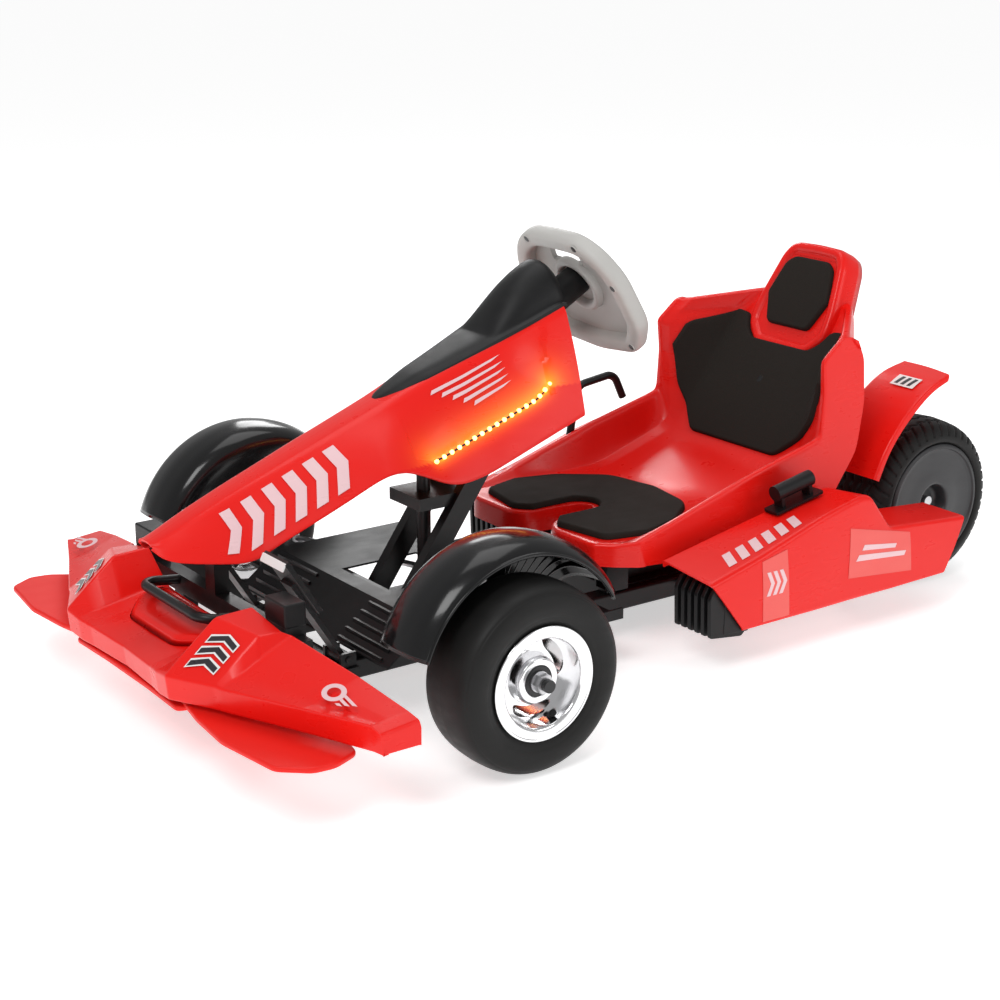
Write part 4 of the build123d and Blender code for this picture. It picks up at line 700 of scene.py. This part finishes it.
def seat_row(floor, flat, corner, rim, skirt):
    """One row of the left half: level out to x = flat, corner, the rim's two edges, the skirt's edge."""
    level = [(x, *floor) for x in (0, 20, 27, 52, flat)]
    return level + [corner, *rim, (195, *skirt)]


def edge_pair(inner_x, y, z):
    """The rim's inner and outer edge."""
    return (inner_x, y, z), (195, y, z)


seat_rows = [
    [(x, y, 146) for x, y in LOBES],
    [(x, y, 180 + (0, 0, 0, 0, 0, 0.5, 2, 3, -33)[i]) for i, (x, y) in enumerate(LOBES)],
    seat_row((80, 180), 147, (170, 76, 182), edge_pair(183, 66, 207), (66, 142)),
    seat_row((200, 180), 147, (170, 198, 184), edge_pair(183, 204, 249), (206, 142)),
    seat_row((322, 219), 145, (168, 322, 226), edge_pair(184, 332, 280), (352, 150)),
    seat_row((347, 240), 134, (160, 346, 246), edge_pair(186, 343, 286), (379, 195)),
    seat_row((380, 290), 127, (178, 348, 302), edge_pair(187, 345, 318), (420, 252)),
    seat_row((404, 325), 125, (185, 347, 343), edge_pair(188, 347, 352), (432, 327)),
    seat_row((446, 389), 125, (186, 344, 396), edge_pair(188, 342, 401), (427, 392)),
    seat_row((466, 418), 122, (184, 364, 412), edge_pair(187, 361, 416), (424, 402)),
    seat_row((488, 452), 92, (184, 386, 430), edge_pair(187, 382, 432), (413, 424)),
    seat_row((502, 455), 92, (184, 402, 433), edge_pair(187, 400, 433), (408, 428)),
    seat_row((508, 432), 92, (184, 414, 418), edge_pair(187, 412, 418), (416, 412))]
seat_half = np.array(seat_rows, float)
seat_net = full_width(seat_half)
seat_radius_v = [2, 8, 9, 16, 14, 12, 5, 5, 2]
seat_grid = soften(seat_net, [2, 6, 30, 30, 24, 16, 10, 10, 9, 8, 5, 5, 2],
                   seat_radius_v[:0:-1] + seat_radius_v, steps=6)
Body("seat_skin").grid(seat_grid).finish(red, "chassis", "body_red", "seat_shell", wall=4, edge=1.0, weld=0.1)

back_plane = frame_on((0, 338, 227), (1, 0, 0), (0, 132, 197))
head_plane = frame_on((0, 450, 400), (1, 0, 0), (0, 58, 115))


def whole_outline(half):
    """Closed outline from its right half, which starts and ends on the middle line or near it."""
    half = np.asarray(half, float)
    left = half[::-1] * (-1, 1)
    return np.vstack([half, left[np.abs(left[:, 0]) > 0.01]])


block_outline = soften_line(whole_outline([(0, -30), (58, -30), (88, 4), (86, 44), (68, 128), (52, 148),
                                           (0, 150)]),
                            14, True)
block_profile = [(0, -44), (-2, -30), (-1.5, -8), (0, -1), (2, 3.4), (5, 5.6), (9, 6), (13, 5), (16, 2.2),
                 (18, 0)]
Body("head_block").grid(slab(block_outline, head_plane, block_profile), closed_v=True, ends=True).finish(
    red, "chassis", "body_red")

BACK_UP = [0, 20, 80, 120, 198, 232]
BACK_FLAT = [140, 134, 127, 125, 125, 124]
BACK_EDGE = np.array([(160, 343, 232), (160, 346, 246), (178, 348, 302), (185, 347, 343), (186, 344, 396),
                      (184, 364, 412)], float)


def back_surface(s, up):
    """Point of the back rest from (distance across, distance up): level, then the bolster's ruled face."""
    flat = np.interp(up, BACK_UP, BACK_FLAT)
    edge = np.stack([np.interp(up, BACK_UP, BACK_EDGE[:, k]) for k in range(3)], -1)
    middle = np.stack([0 * up, 338 + 0.5566 * up, 227 + 0.8308 * up], -1)
    corner = middle + np.stack([flat, 0 * up, 0 * up], -1)
    run = edge - corner
    run /= np.linalg.norm(run, axis=-1, keepdims=True)

    def at(distance):
        over = np.maximum(np.abs(distance) - flat, 0)[..., None]
        point = middle + np.stack([np.minimum(np.abs(distance), flat), 0 * up, 0 * up], -1) + run * over
        return point * np.stack([np.where(distance < 0, -1.0, 1.0), 1 + 0 * up, 1 + 0 * up], -1)
    return (at(s - 7) + 2 * at(s) + at(s + 7)) / 4


def flat_surface(plane):
    """The same for a level piece of the seat."""
    return lambda s, up: lay(np.stack([s, up], -1), plane)


def clustered(low, high, count):
    """Places from low to high that crowd towards both ends as a cosine does."""
    return low + (high - low) * (1 - np.cos(np.linspace(0, math.pi, count))) / 2


def foam_mat(name, hides, surface, lower, upper, cuts=(), thick=8.0, crown=1.2):
    """Foam mat between two outlines over the distance across: rounded edge by the distance to the outline.

    Height over the seat = 0.7 + thick * sqrt(1 - (1 - min(d / 4, 1))^2) + crown * (1 - exp(-d / 25)), d =
    distance to the outline. The underside lies 0.7 over the seat.
    """
    lower, upper = np.asarray(lower, float), np.asarray(upper, float)
    stops = [lower[0, 0], *cuts, lower[-1, 0]]
    s = np.concatenate([clustered(a + 0.06, b - 0.06, max(int((b - a) / 4), 14)) for a,
                        b in zip(stops, stops[1:])])
    share = clustered(0, 1, 56)[:, None]
    low, high = (np.interp(s, line[:, 0], line[:, 1])[None] for line in (lower, upper))
    up = low * (1 - share) + high * share
    s = np.broadcast_to(s, up.shape)
    ring = np.vstack([lower, upper[::-1], lower[:1]])
    ring = ring[np.r_[True, np.linalg.norm(np.diff(ring, axis=0), axis=1) > 1e-6]]
    gap, _ = nearest_on(ring, np.stack([s, up], -1))
    gap[0], gap[-1] = 0, 0
    gap[:, 0], gap[:, -1] = 0, 0
    high = 0.7 + thick * np.sqrt(1 - (1 - np.minimum(gap / 4, 1)) ** 2) + crown * (1 - np.exp(-gap / 25))
    under = surface(s, up)
    out = np.cross(surface(s + 1, up) - surface(s - 1, up), surface(s, up + 1) - surface(s, up - 1))
    out /= np.linalg.norm(out, axis=-1, keepdims=True)
    pad = Body(name).grid(under + out * high[..., None]).grid(under + out * 0.7).finish(
        foam, "chassis", "foam_pad", hides)
    return pad


def both_sides(half):
    """Outline over the distance across from its right half."""
    half = np.asarray(half, float)
    return np.vstack([half[::-1] * (-1, 1), half[half[:, 0] > 0]])


notch_end = [(32 * math.sin(a), 32 + 32 * math.cos(a)) for a in np.linspace(0, math.pi / 2, 9)]
front_edge = soften_line([(32.05, -32), (54, -53), (148, -36), (166, 28)], (0, 9, 12, 0), steps=9)
rear_edge = soften_line([(0, 184), (92, 168), (148, 97), (166, 32)], (0, 20, 12, 0), steps=9)
foam_mat("base_mat", "seat_base_pad", flat_surface(frame_on((0, 0, 180.2), (1, 0, 0), (0, 1, 0))),
         both_sides(notch_end + list(map(tuple, front_edge))), both_sides(rear_edge), cuts=(-32, 32))
back_low_edge = soften_line([(0, 5), (98, 5), (164, 76), (204, 150)], (0, 10, 14, 0), steps=9)
back_high_edge = soften_line([(0, 184), (64, 184), (83, 200), (95, 224), (126, 226), (196, 206), (204, 196)],
                             (0, 8, 8, 9, 9, 5, 0), steps=7)
foam_mat("back_mat", "seat_back_pad", back_surface, both_sides(back_low_edge), both_sides(back_high_edge))
head_low_edge = soften_line([(0, 8), (46, 8), (66, 56)], (0, 8, 0))
head_high_edge = soften_line([(0, 124), (36, 124), (52, 112), (66, 60)], (0, 7, 8, 0))
foam_mat("head_mat", "headrest_pad", flat_surface(head_plane), both_sides(head_low_edge),
         both_sides(head_high_edge))


def turned_rings(radii, heights, across=0, up=0):
    """Rings of a work plane about a point, from the radius and height of each: (across, up, height)."""
    return np.stack([across + np.outer(radii, np.cos(ring_angle)), up + np.outer(radii, np.sin(ring_angle)),
                     np.outer(heights, np.ones(len(ring_angle)))], -1)


eyelet = turned_rings((5.6, 4.6, 4.0, 0.01), (9.8, 10.3, 9.9, 9.85), up=118)
Body("back_eyelet").grid(lay(eyelet, back_plane), closed_v=True).finish(gloss_black, "chassis",
                                                                        "black_plastic")

# ---------------------------------------------------------------- side pods
# rows from the front to the tail: (y, z) of the inner hem, inner edge, crease, middle of the flank, bottom
POD = np.array([[(15, 150), (15, 160), (34, 141), (66, 99), (96, 60)],
                [(120, 169), (120, 180), (126, 165), (134, 112), (150, 60)],
                [(250, 192), (250, 204), (254, 206), (250, 140), (250, 60)],
                [(334, 202), (334, 213), (326, 222), (322, 146), (318, 61)],
                [(352, 197), (352, 207), (346, 219), (350, 148), (345, 61)],
                [(386, 156), (386, 166), (388, 163), (392, 120), (390, 61)],
                [(400, 152), (400, 162), (402, 160), (404, 120), (400, 61)],
                [(552, 141), (552, 150), (556, 148), (536, 106), (513, 63)]], float)
pod_x = np.broadcast_to(np.array([217.5, 217, 303, 305.5, 305])[:, None], POD.shape[:2] + (1,))
pod_net = np.concatenate([pod_x, POD], -1)
hem_row = pod_net[:, -1:] - (14, 0, 1)
pod_net = np.concatenate([pod_net, hem_row], 1)
pod_net[2:4, 3, 0] += (2, 1)
pod_grid = soften(pod_net, (0, 22, 22, 9, 9, 9, 9, 0), (2, 3, 8, 24, 6, 2))
for side, flip in SIDES:
    Body("pod_skin_" + side).grid(denser(pod_grid, 0, 12) * flip).finish(
        red, "chassis", "body_red", "side_pod_" + side, wall=3.2, edge=0.8)


grilles = Body("pod_grilles")
rib_side = soften_line([(38, 58), (98, 50), (106, 58), (104, 146), (46, 133), (36, 118)], 4, True)
core_side = soften_line([(62, 60), (110, 56), (112, 146), (66, 135)], 3, True)
for thick, side_outline, places in ((7, rib_side, 219 + 14.4 * np.arange(6)), (80, core_side, [219])):
    for x in places:
        plane = frame_on((x, 0, 0), (0, 1, 0), (0, 0, 1))
        grilles.both(slab(side_outline, plane, edge_round(thick, 1.2)), closed_v=True, ends=True)
grilles.finish(black, "chassis", "black_plastic", "pod_inserts")

pod_top_pick, pod_pick = skin_pick(pod_grid[:, 3:12], 1, 0), skin_pick(pod_grid[:, 9:], 1, 2, -1.0)
top_marks = Body("pod_top_marks")
for mark in range(6):
    start = 78 + 25 * mark
    printed(top_marks, [(start, 289), (start + 15, 289), (start + 24, 262), (start + 9, 262)], pod_top_pick,
            0.7, 8)
top_marks.finish(pale, "chassis", "body_red", wall=-0.2)
pod_films, pod_marks = Body("pod_films"), Body("pod_marks")
printed(pod_films, [(132, 66), (184, 66), (176, 168), (128, 158)], pod_pick, 0.4, 10)
printed(pod_films, [(302, 98), (438, 84), (432, 146), (302, 176)], pod_pick, 0.4, 10)
for mark in range(3):
    start = 137 + 12 * mark
    printed(pod_marks, [(start, 104), (start + 7, 104), (start + 15, 122), (start + 8, 122)], pod_pick, 0.7,
            6)
    printed(pod_marks, [(start, 140), (start + 7, 140), (start + 15, 122), (start + 8, 122)], pod_pick, 0.7,
            6)
printed(pod_marks, [(316, 122), (420, 112), (424, 119), (322, 131)], pod_pick, 0.7, 8)
printed(pod_marks, [(328, 137), (400, 128), (403, 134), (333, 145)], pod_pick, 0.7, 8)
pod_films.finish(film, "chassis", "body_red", wall=-0.2)
pod_marks.finish(pale, "chassis", "body_red", wall=-0.2)

# ---------------------------------------------------------------- rear fenders
REAR_Y, REAR_R, REAR_X = 606, 133, 140
fender_turn = np.array([[24, 24, 24, 24, 24], [40, 40, 40, 40, 40], [56, 56, 56, 56, 56],
                        [72, 72, 72, 72, 72],
                        [84, 84, 83, 82, 82], [97, 97, 96, 92, 91]], float)
fender_r = np.array([164, 170, 178, 192, 204, 213], float)[:, None] + np.array([-9, 0, 1, 0, -10])
fender_x = np.broadcast_to(np.array([87, 86, 145, 203, 204]), fender_r.shape)
fender_a = np.radians(fender_turn)
fender_net = np.stack([fender_x, REAR_Y - fender_r * np.cos(fender_a), REAR_R + fender_r * np.sin(fender_a)],
                      -1)
fender_grid = soften(fender_net, (0, 30, 30, 30, 20, 0), (1, 5, 30, 5, 1))
for side, flip in SIDES:
    Body("fender_skin_" + side).grid(fender_grid * flip).finish(
        red, "chassis", "body_red", "rear_fender_" + side, wall=3.2, edge=0.8)


def fender_pick(positions, lift):
    """Point of the fender's skin from (x, angle above the horizontal)."""
    x, angle = positions[..., 0], positions[..., 1]
    r = np.interp(angle, [24, 40, 56, 72, 84, 97], [164, 170, 178, 192, 204, 213]) + 1.4 + lift
    return np.stack([x, REAR_Y - r * np.cos(np.radians(angle)), REAR_R + r * np.sin(np.radians(angle))], -1)


patch, patch_ink = Body("fender_marks"), Body("fender_ink")
printed(patch, [(128, 76), (176, 76), (176, 83), (128, 83)], fender_pick, 0.9, 5)
for mark in range(3):
    printed(patch_ink,
            [(134 + 13 * mark, 77), (141 + 13 * mark, 77), (145 + 13 * mark, 82), (138 + 13 * mark, 82)],
            fender_pick, 1.3, 4)
patch.finish(white, "chassis", "body_red", wall=-0.2)
patch_ink.finish(ink, "chassis", "black_plastic", wall=-0.2)

# ---------------------------------------------------------------- mudguards
FRONT_AXLE, FRONT_R, FRONT_X, GUARD_X = -354, 127, 380, 338
GUARD_ARC = {"turns": 73, "start": 18, "sweep": 134}
skin = soften_line([(-57, 106), (-55, 150), (-49, 164), (-34, 173), (0, 178), (34, 174), (50, 163),
                    (52, 158)], 12)
skin = along(skin, 42)
inner_skin = (skin - (0, 3.2)) * (0.97, 1)
guard_section = np.vstack([skin, inner_skin[::-1]]) + (GUARD_X, 0)
for side, flip in SIDES:
    guard = Body("guard_" + side)
    arch = lathe(guard_section, (0, FRONT_AXLE, FRONT_R), **GUARD_ARC)
    guard.grid(arch * flip, closed_v=True, ends=True)
    for rib in range(26):
        rib_section = np.vstack([inner_skin[2:-2], (inner_skin[2:-2] - (0, 4.2))[::-1]]) + (GUARD_X, 0)
        ridge = lathe(rib_section, (0, FRONT_AXLE, FRONT_R), 3, 24 + 4.8 * rib, 1.1)
        guard.grid(ridge * flip, closed_v=True, ends=True)
    for row in (0, 41):
        bead = lathe(skin[[row]] + (GUARD_X, 0), (0, FRONT_AXLE, FRONT_R), **GUARD_ARC)[:, 0]
        guard.grid(tube(bead, 2.4, 10) * flip, closed_v=True, ends=True)
    stay = frame_on((319.5, FRONT_AXLE, FRONT_R), (0, 1, 0), (0, 0, 1))
    stay_outline = soften_line([(-17, 12), (17, 12), (13, 150), (20, 172.5), (-20, 172.5), (-13, 150)], 8,
                               True)
    guard.grid(slab(stay_outline, stay, edge_round(5, 1.2)) * flip, closed_v=True, ends=True)
    guard.finish(gloss_black, "knuckle_" + side, "black_plastic", "mudguard_" + side)

# ---------------------------------------------------------------- front wheels
tyre_half = along(soften_line([(0, 127), (22, 126.2), (38, 123), (46.5, 115), (49.6, 103), (49, 92), (46, 82),
                               (43, 77.5), (42.5, 70)],
                              (0, 14, 9, 8, 8, 6, 5, 3, 0)), 90)
seam = np.exp(-((np.arange(90) - 42) / 0.9) ** 2) * 0.7 - np.exp(-((np.arange(90) - 72) / 1.6) ** 2) * 0.8
seam = seam + np.exp(-((np.arange(90) - 66) / 1.0) ** 2) * 0.5
tyre_half = tyre_half - np.stack([np.zeros(90), seam], 1)
tyre_section = np.vstack([tyre_half[::-1] * (-1, 1), tyre_half[1:]])
barrel = soften_line([(-47, 75.5), (-47.5, 76.5), (-44, 76.5), (-43.5, 63), (-30, 60), (43, 62), (44, 66),
                      (44, 76), (46, 77), (47.8, 76),
                      (47.6, 73), (45, 70.5), (38, 69), (34, 63.5), (17, 60.5), (15, 58)], 1.2)
hub_profile = soften_line([(15, 35), (20, 33.5), (29, 32), (34, 29.5), (34.8, 27), (34.5, 21.5), (33, 20.4),
                           (24, 20.3), (23, 12)], 1.4)


def window_frame(inner, outer, centre_angle, width):
    """One third of the wheel's face: a ring from a curved, round-ended window out to the third's border.

    Both borders are functions of the angle about the window's middle: a box in (radius, angle) for the
    border and a superellipse of power 3 for the window, carried over to the face's polar coordinates.
    """
    a = np.linspace(0, 2 * math.pi, 73)[:-1]
    c, s = np.cos(a), np.sin(a)
    stretch = 1 / np.maximum(np.abs(c), np.abs(s))
    edge = np.stack([c * stretch, s * stretch], 1)
    hole = np.stack([np.sign(c) * np.abs(c) ** 0.62 * 0.60, np.sign(s) * np.abs(s) ** 0.62 * 0.62], 1)
    lean = np.stack([hole[:, 0] - 0.22 * hole[:, 1], hole[:, 1]], 1)
    share = np.linspace(0, 1, 7)[:, None, None]
    box = lean * (1 - share) + edge * share
    angle = np.radians(centre_angle + box[..., 0] * width / 2)
    radius = (inner + outer) / 2 + box[..., 1] * (outer - inner) / 2
    return np.stack([16 + 0 * radius, -radius * np.cos(angle), radius * np.sin(angle)], -1)


def add_turned(piece, centre_x, centre_y, centre_z):
    """UV for lathe marks: u follows the angle about the wheel's axle and v the distance from it."""
    mesh = piece.data
    co = np.zeros(len(mesh.vertices) * 3)
    mesh.vertices.foreach_get("co", co)
    rel = co.reshape(-1, 3) / UNITS - (centre_x, centre_y, centre_z)
    uv = np.stack([np.arctan2(rel[:, 2], rel[:, 1]) / math.tau,
                   (np.hypot(rel[:, 1], rel[:, 2]) + 0.6 * rel[:, 0]) / 100], 1)
    corner = np.zeros(len(mesh.loops), int)
    mesh.loops.foreach_get("vertex_index", corner)
    layer = mesh.uv_layers.new(name="turned")
    layer.data.foreach_set("uv", uv[corner].ravel())


for side, flip in SIDES:
    at = (FRONT_X, FRONT_AXLE, FRONT_R)
    Body("slick_" + side).grid(lathe(tyre_section, at, 128) * flip, closed_u=True).finish(
        rubber, "front_wheel_" + side, "tyre_black", "front_tyre_" + side)
    rim = Body("alloy_" + side)
    rim.grid(lathe(barrel, at, 128) * flip, closed_u=True)
    rim.grid(lathe(hub_profile, at, 96) * flip, closed_u=True)
    for third in (30, 150, 270):
        rim.grid((window_frame(34, 59, third, 120) + at) * flip, closed_v=True)
    piece = rim.finish(alloy, "front_wheel_" + side, "rim_alloy", "front_rim_" + side, wall=3.0, edge=0.9)
    add_turned(piece, FRONT_X * flip[0], FRONT_AXLE, FRONT_R)
    stem_path = soften_line([(18, 24, -60), (24, 23, -56), (40, 19, -45)], 4) + at
    stem = tube(along(stem_path, 12), np.interp(np.arange(12), (0, 3, 4, 8, 9, 11), (6, 6, 4.2, 4, 4.6, 4.4)),
                14)
    Body("valve_" + side).grid(stem * flip, closed_v=True, ends=True).finish(
        black, "front_wheel_" + side, "black_plastic")

# ---------------------------------------------------------------- rear wheels
rear_half = along(soften_line([(0, 133), (30, 131), (44, 127), (53, 119), (57.5, 109), (57, 102),
                               (52.6, 98.8)], (0, 14, 9, 8, 6, 4, 0)), 60)
rear_section = np.vstack([rear_half[::-1] * (-1, 1), rear_half[1:]])
TREAD_TURNS, LUGS = 420, 42
tread = lathe(rear_section, (0, 0, 0), TREAD_TURNS)
angle = np.linspace(0, 2 * math.pi, TREAD_TURNS, endpoint=False)[:, None]
x = rear_section[:, 0][None]
sway = 2.6 * np.sin(angle * LUGS)
ring_cut = sum(np.clip(1.5 - np.abs(x - line - sway) / 1.7, 0, 1) for line in (-27, -9, 9, 27))
lug_phase = (angle * LUGS / math.tau + np.abs(x) / 34) % 1
lug_cut = np.clip(1.6 - np.abs(lug_phase - 0.5) * 11, 0, 1) * (np.abs(x) > 30) * (np.abs(x) < 56)
cut = 3.6 * np.clip(ring_cut + lug_cut, 0, 1) * (rear_section[:, 1][None] > 108)
radial = tread * (0, 1, 1)
tread = tread - radial / np.linalg.norm(radial, axis=-1, keepdims=True) * cut[..., None]
cover = soften_line([(50, 98.5), (55, 97.5), (56.4, 94), (56.8, 91), (53.5, 89), (52.6, 84), (52.0, 60),
                     (53.5, 44), (54, 33), (52, 30),
                     (44, 27.5), (34, 25), (31, 20), (31, 0.01)], (1, 2, 1, 1, 1, 2, 12, 8, 3, 3, 6, 4, 3, 0))
inner_cover = soften_line([(-51, 98.5), (-54, 96), (-54, 90), (-50, 80), (-46, 46), (-50, 42), (-53, 30),
                           (-53, 9)], 3)
for side, flip in SIDES:
    at = np.array((REAR_X, REAR_Y, REAR_R))
    Body("treaded_" + side).grid((tread + at) * flip, closed_u=True).finish(
        rubber, "rear_wheel_" + side, "tyre_black", "rear_tyre_" + side)
    shell = Body("wheel_cover_" + side)
    shell.grid(lathe(cover, at, 128) * flip, closed_u=True)
    shell.grid(lathe(inner_cover, at, 128) * flip, closed_u=True)
    shell.finish(cover_grey, "rear_wheel_" + side, "black_plastic", "motor_shell_" + side, wall=1.5)

# ---------------------------------------------------------------- steering wheel
WHEEL = frame_on((0, 9 + 14 * math.sqrt(0.75), 532), (1, 0, 0), (0, -0.5, math.sqrt(0.75)))
wheel_half = np.array([(0, -122), (88, -112), (124, -60), (121, 22), (94, 64), (56, 86), (0, 88)], float)
wheel_outline = soften_line(whole_outline(wheel_half), 20, True, 8)
wheel_outline = along(np.vstack([wheel_outline, wheel_outline[:1]]), 161)[:-1]
loop_angle = np.linspace(0, 2 * math.pi, 28, endpoint=False)
rim_loop = np.stack([13.5 - 13.5 * np.sign(np.cos(loop_angle)) * np.abs(np.cos(loop_angle)) ** 0.7,
                     14 * np.sign(np.sin(loop_angle)) * np.abs(np.sin(loop_angle)) ** 0.7], 1)
steer = Body("steering_rim")
steer.grid(slab(wheel_outline, WHEEL, rim_loop), closed_u=True, closed_v=True)
steer.finish(grip_grey, "steering", "wheel_grey", "steering_wheel")


def ray_lengths(outline, centre, angles):
    """Distance from a centre to an outline along each angle, by the outline's own angles about it."""
    rel = outline - centre
    own = np.unwrap(np.arctan2(rel[:, 1], rel[:, 0]))
    order = np.argsort(own % math.tau)
    turn_ = (own % math.tau)[order]
    far = np.linalg.norm(rel, axis=1)[order]
    return np.interp(angles, np.r_[turn_[-1] - math.tau, turn_, turn_[0] + math.tau],
                     np.r_[far[-1], far, far[0]])


opening = soften_line([(-36, 30), (-31, 58), (31, 58), (36, 30)], 6, True)
opening = along(np.vstack([opening, opening[:1]]), 120)
about = np.linspace(0, 2 * math.pi, 160, endpoint=False)
hole_r = ray_lengths(opening[:-1], (0, 44), about)
rim_r = ray_lengths(wheel_outline, (0, 44), about) - 18
share = np.linspace(0, 1, 12)[:, None]
plate_r = hole_r * (1 - share) + rim_r * share
dish = np.interp(share, [0, 0.08, 0.5, 0.9, 1], [-1.0, -4.5, -6, -4.5, 0]) + 0 * plate_r
plate = lay(np.stack([plate_r * np.cos(about), 44 + plate_r * np.sin(about), dish], -1), WHEEL)
Body("steering_plate").grid(plate, closed_v=True).finish(grip_grey, "steering", "wheel_grey", wall=-7,
                                                         edge=0.8)
collar = np.array([(46, -6), (45, 2), (42, 5), (36, 5), (33, 1), (32, -6)], float)
rings = turned_rings(*collar.T, up=-8)
Body("steering_collar").grid(lay(rings, WHEEL), closed_v=True).finish(grip_grey, "steering", "wheel_grey")
screw_holes, screw_heads = Body("screw_rims"), Body("screw_holes")
for px, py in ((-56, 74), (56, 74), (108, 14), (-108, 14), (86, -96), (-86, -96)):
    for body, r, h in ((screw_holes, (6.4, 5.6, 4.9), (13.2, 14.7, 14.0)),
                       (screw_heads, (4.9, 4.7, 0.01), (14.0, 14.2, 14.2))):
        body.grid(lay(turned_rings(r, h, px, py), WHEEL), closed_v=True)
screw_holes.finish(grip_grey, "steering", "wheel_grey")
screw_heads.finish(dark_steel, "steering", "steel")

# ---------------------------------------------------------------- pedal caps
for side, name in ((1, "brake_pedal"), (-1, "throttle_pedal")):
    low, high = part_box(name)
    cap_plane = frame_on((side * 115, low.y / UNITS + 1.0, high.z / UNITS - 1.5), (1, 0, 0), (0, -0.3, -0.6))
    cap_outline = soften_line([(-30, 0), (30, 0), (30, 12), (-30, 12)], 2, True)
    cap = slab(cap_outline, cap_plane, edge_round(2.4, 1.0))
    Body(name + "_cap").grid(cap, closed_v=True, ends=True).finish(white, name, "steel")

# ---------------------------------------------------------------- camera, light and floor
eye = (2.256, -1.739, 1.073)
camera = bpy.data.objects.new("camera", bpy.data.cameras.new("camera"))
bpy.context.scene.collection.objects.link(camera)
camera.data.lens, camera.data.sensor_width = 36 * 1.975, 36
camera.data.clip_end = 200
camera.location = eye
camera.rotation_euler = (math.radians(90 - 17.08), 0, math.radians(54.27))
bpy.context.scene.camera = camera

floor_mesh = bpy.data.meshes.new("floor")
floor_mesh.from_pydata([(-60, -60, 0), (60, -60, 0), (60, 60, 0), (-60, 60, 0)], [], [(0, 1, 2, 3)])
floor = bpy.data.objects.new("floor", floor_mesh)
bpy.context.scene.collection.objects.link(floor)
paper = bpy.data.materials.new("studio_floor")
paper.use_nodes = True
set_inputs(paper.node_tree, paper.node_tree.nodes["Principled BSDF"], Base_Color=(0.92, 0.92, 0.92, 1),
           Roughness=0.9, Specular_IOR_Level=0.0, Emission_Color=(1, 1, 1, 1), Emission_Strength=0.55)
floor_mesh.materials.append(paper)


def soft_light(name, place, target, size, power):
    """Square area light that faces a target."""
    lamp = bpy.data.lights.new(name, "AREA")
    lamp.shape, lamp.size, lamp.energy = "SQUARE", size, power
    lit = bpy.data.objects.new(name, lamp)
    bpy.context.scene.collection.objects.link(lit)
    away = np.asarray(place, float) - target
    lit.location = place
    lit.rotation_euler = (math.atan2(math.hypot(away[0], away[1]), away[2]), 0, math.atan2(away[0], -away[1]))


soft_light("key", (1.6, -2.6, 3.4), (0, -0.1, 0.2), 1.6, 60)
soft_light("top", (-0.4, 0.4, 3.6), (0, 0, 0.2), 2.4, 34)
soft_light("rim", (-3.0, 1.6, 2.0), (0, 0, 0.3), 1.2, 26)
soft_light("side", (3.2, 1.6, 1.6), (0, 0, 0.3), 1.4, 16)
world = bpy.data.worlds.new("studio")
world.use_nodes = True
set_inputs(world.node_tree, world.node_tree.nodes["Background"], Color=(1, 1, 1, 1), Strength=0.45)
bpy.context.scene.world = world
bpy.context.scene.view_settings.view_transform = "Standard"
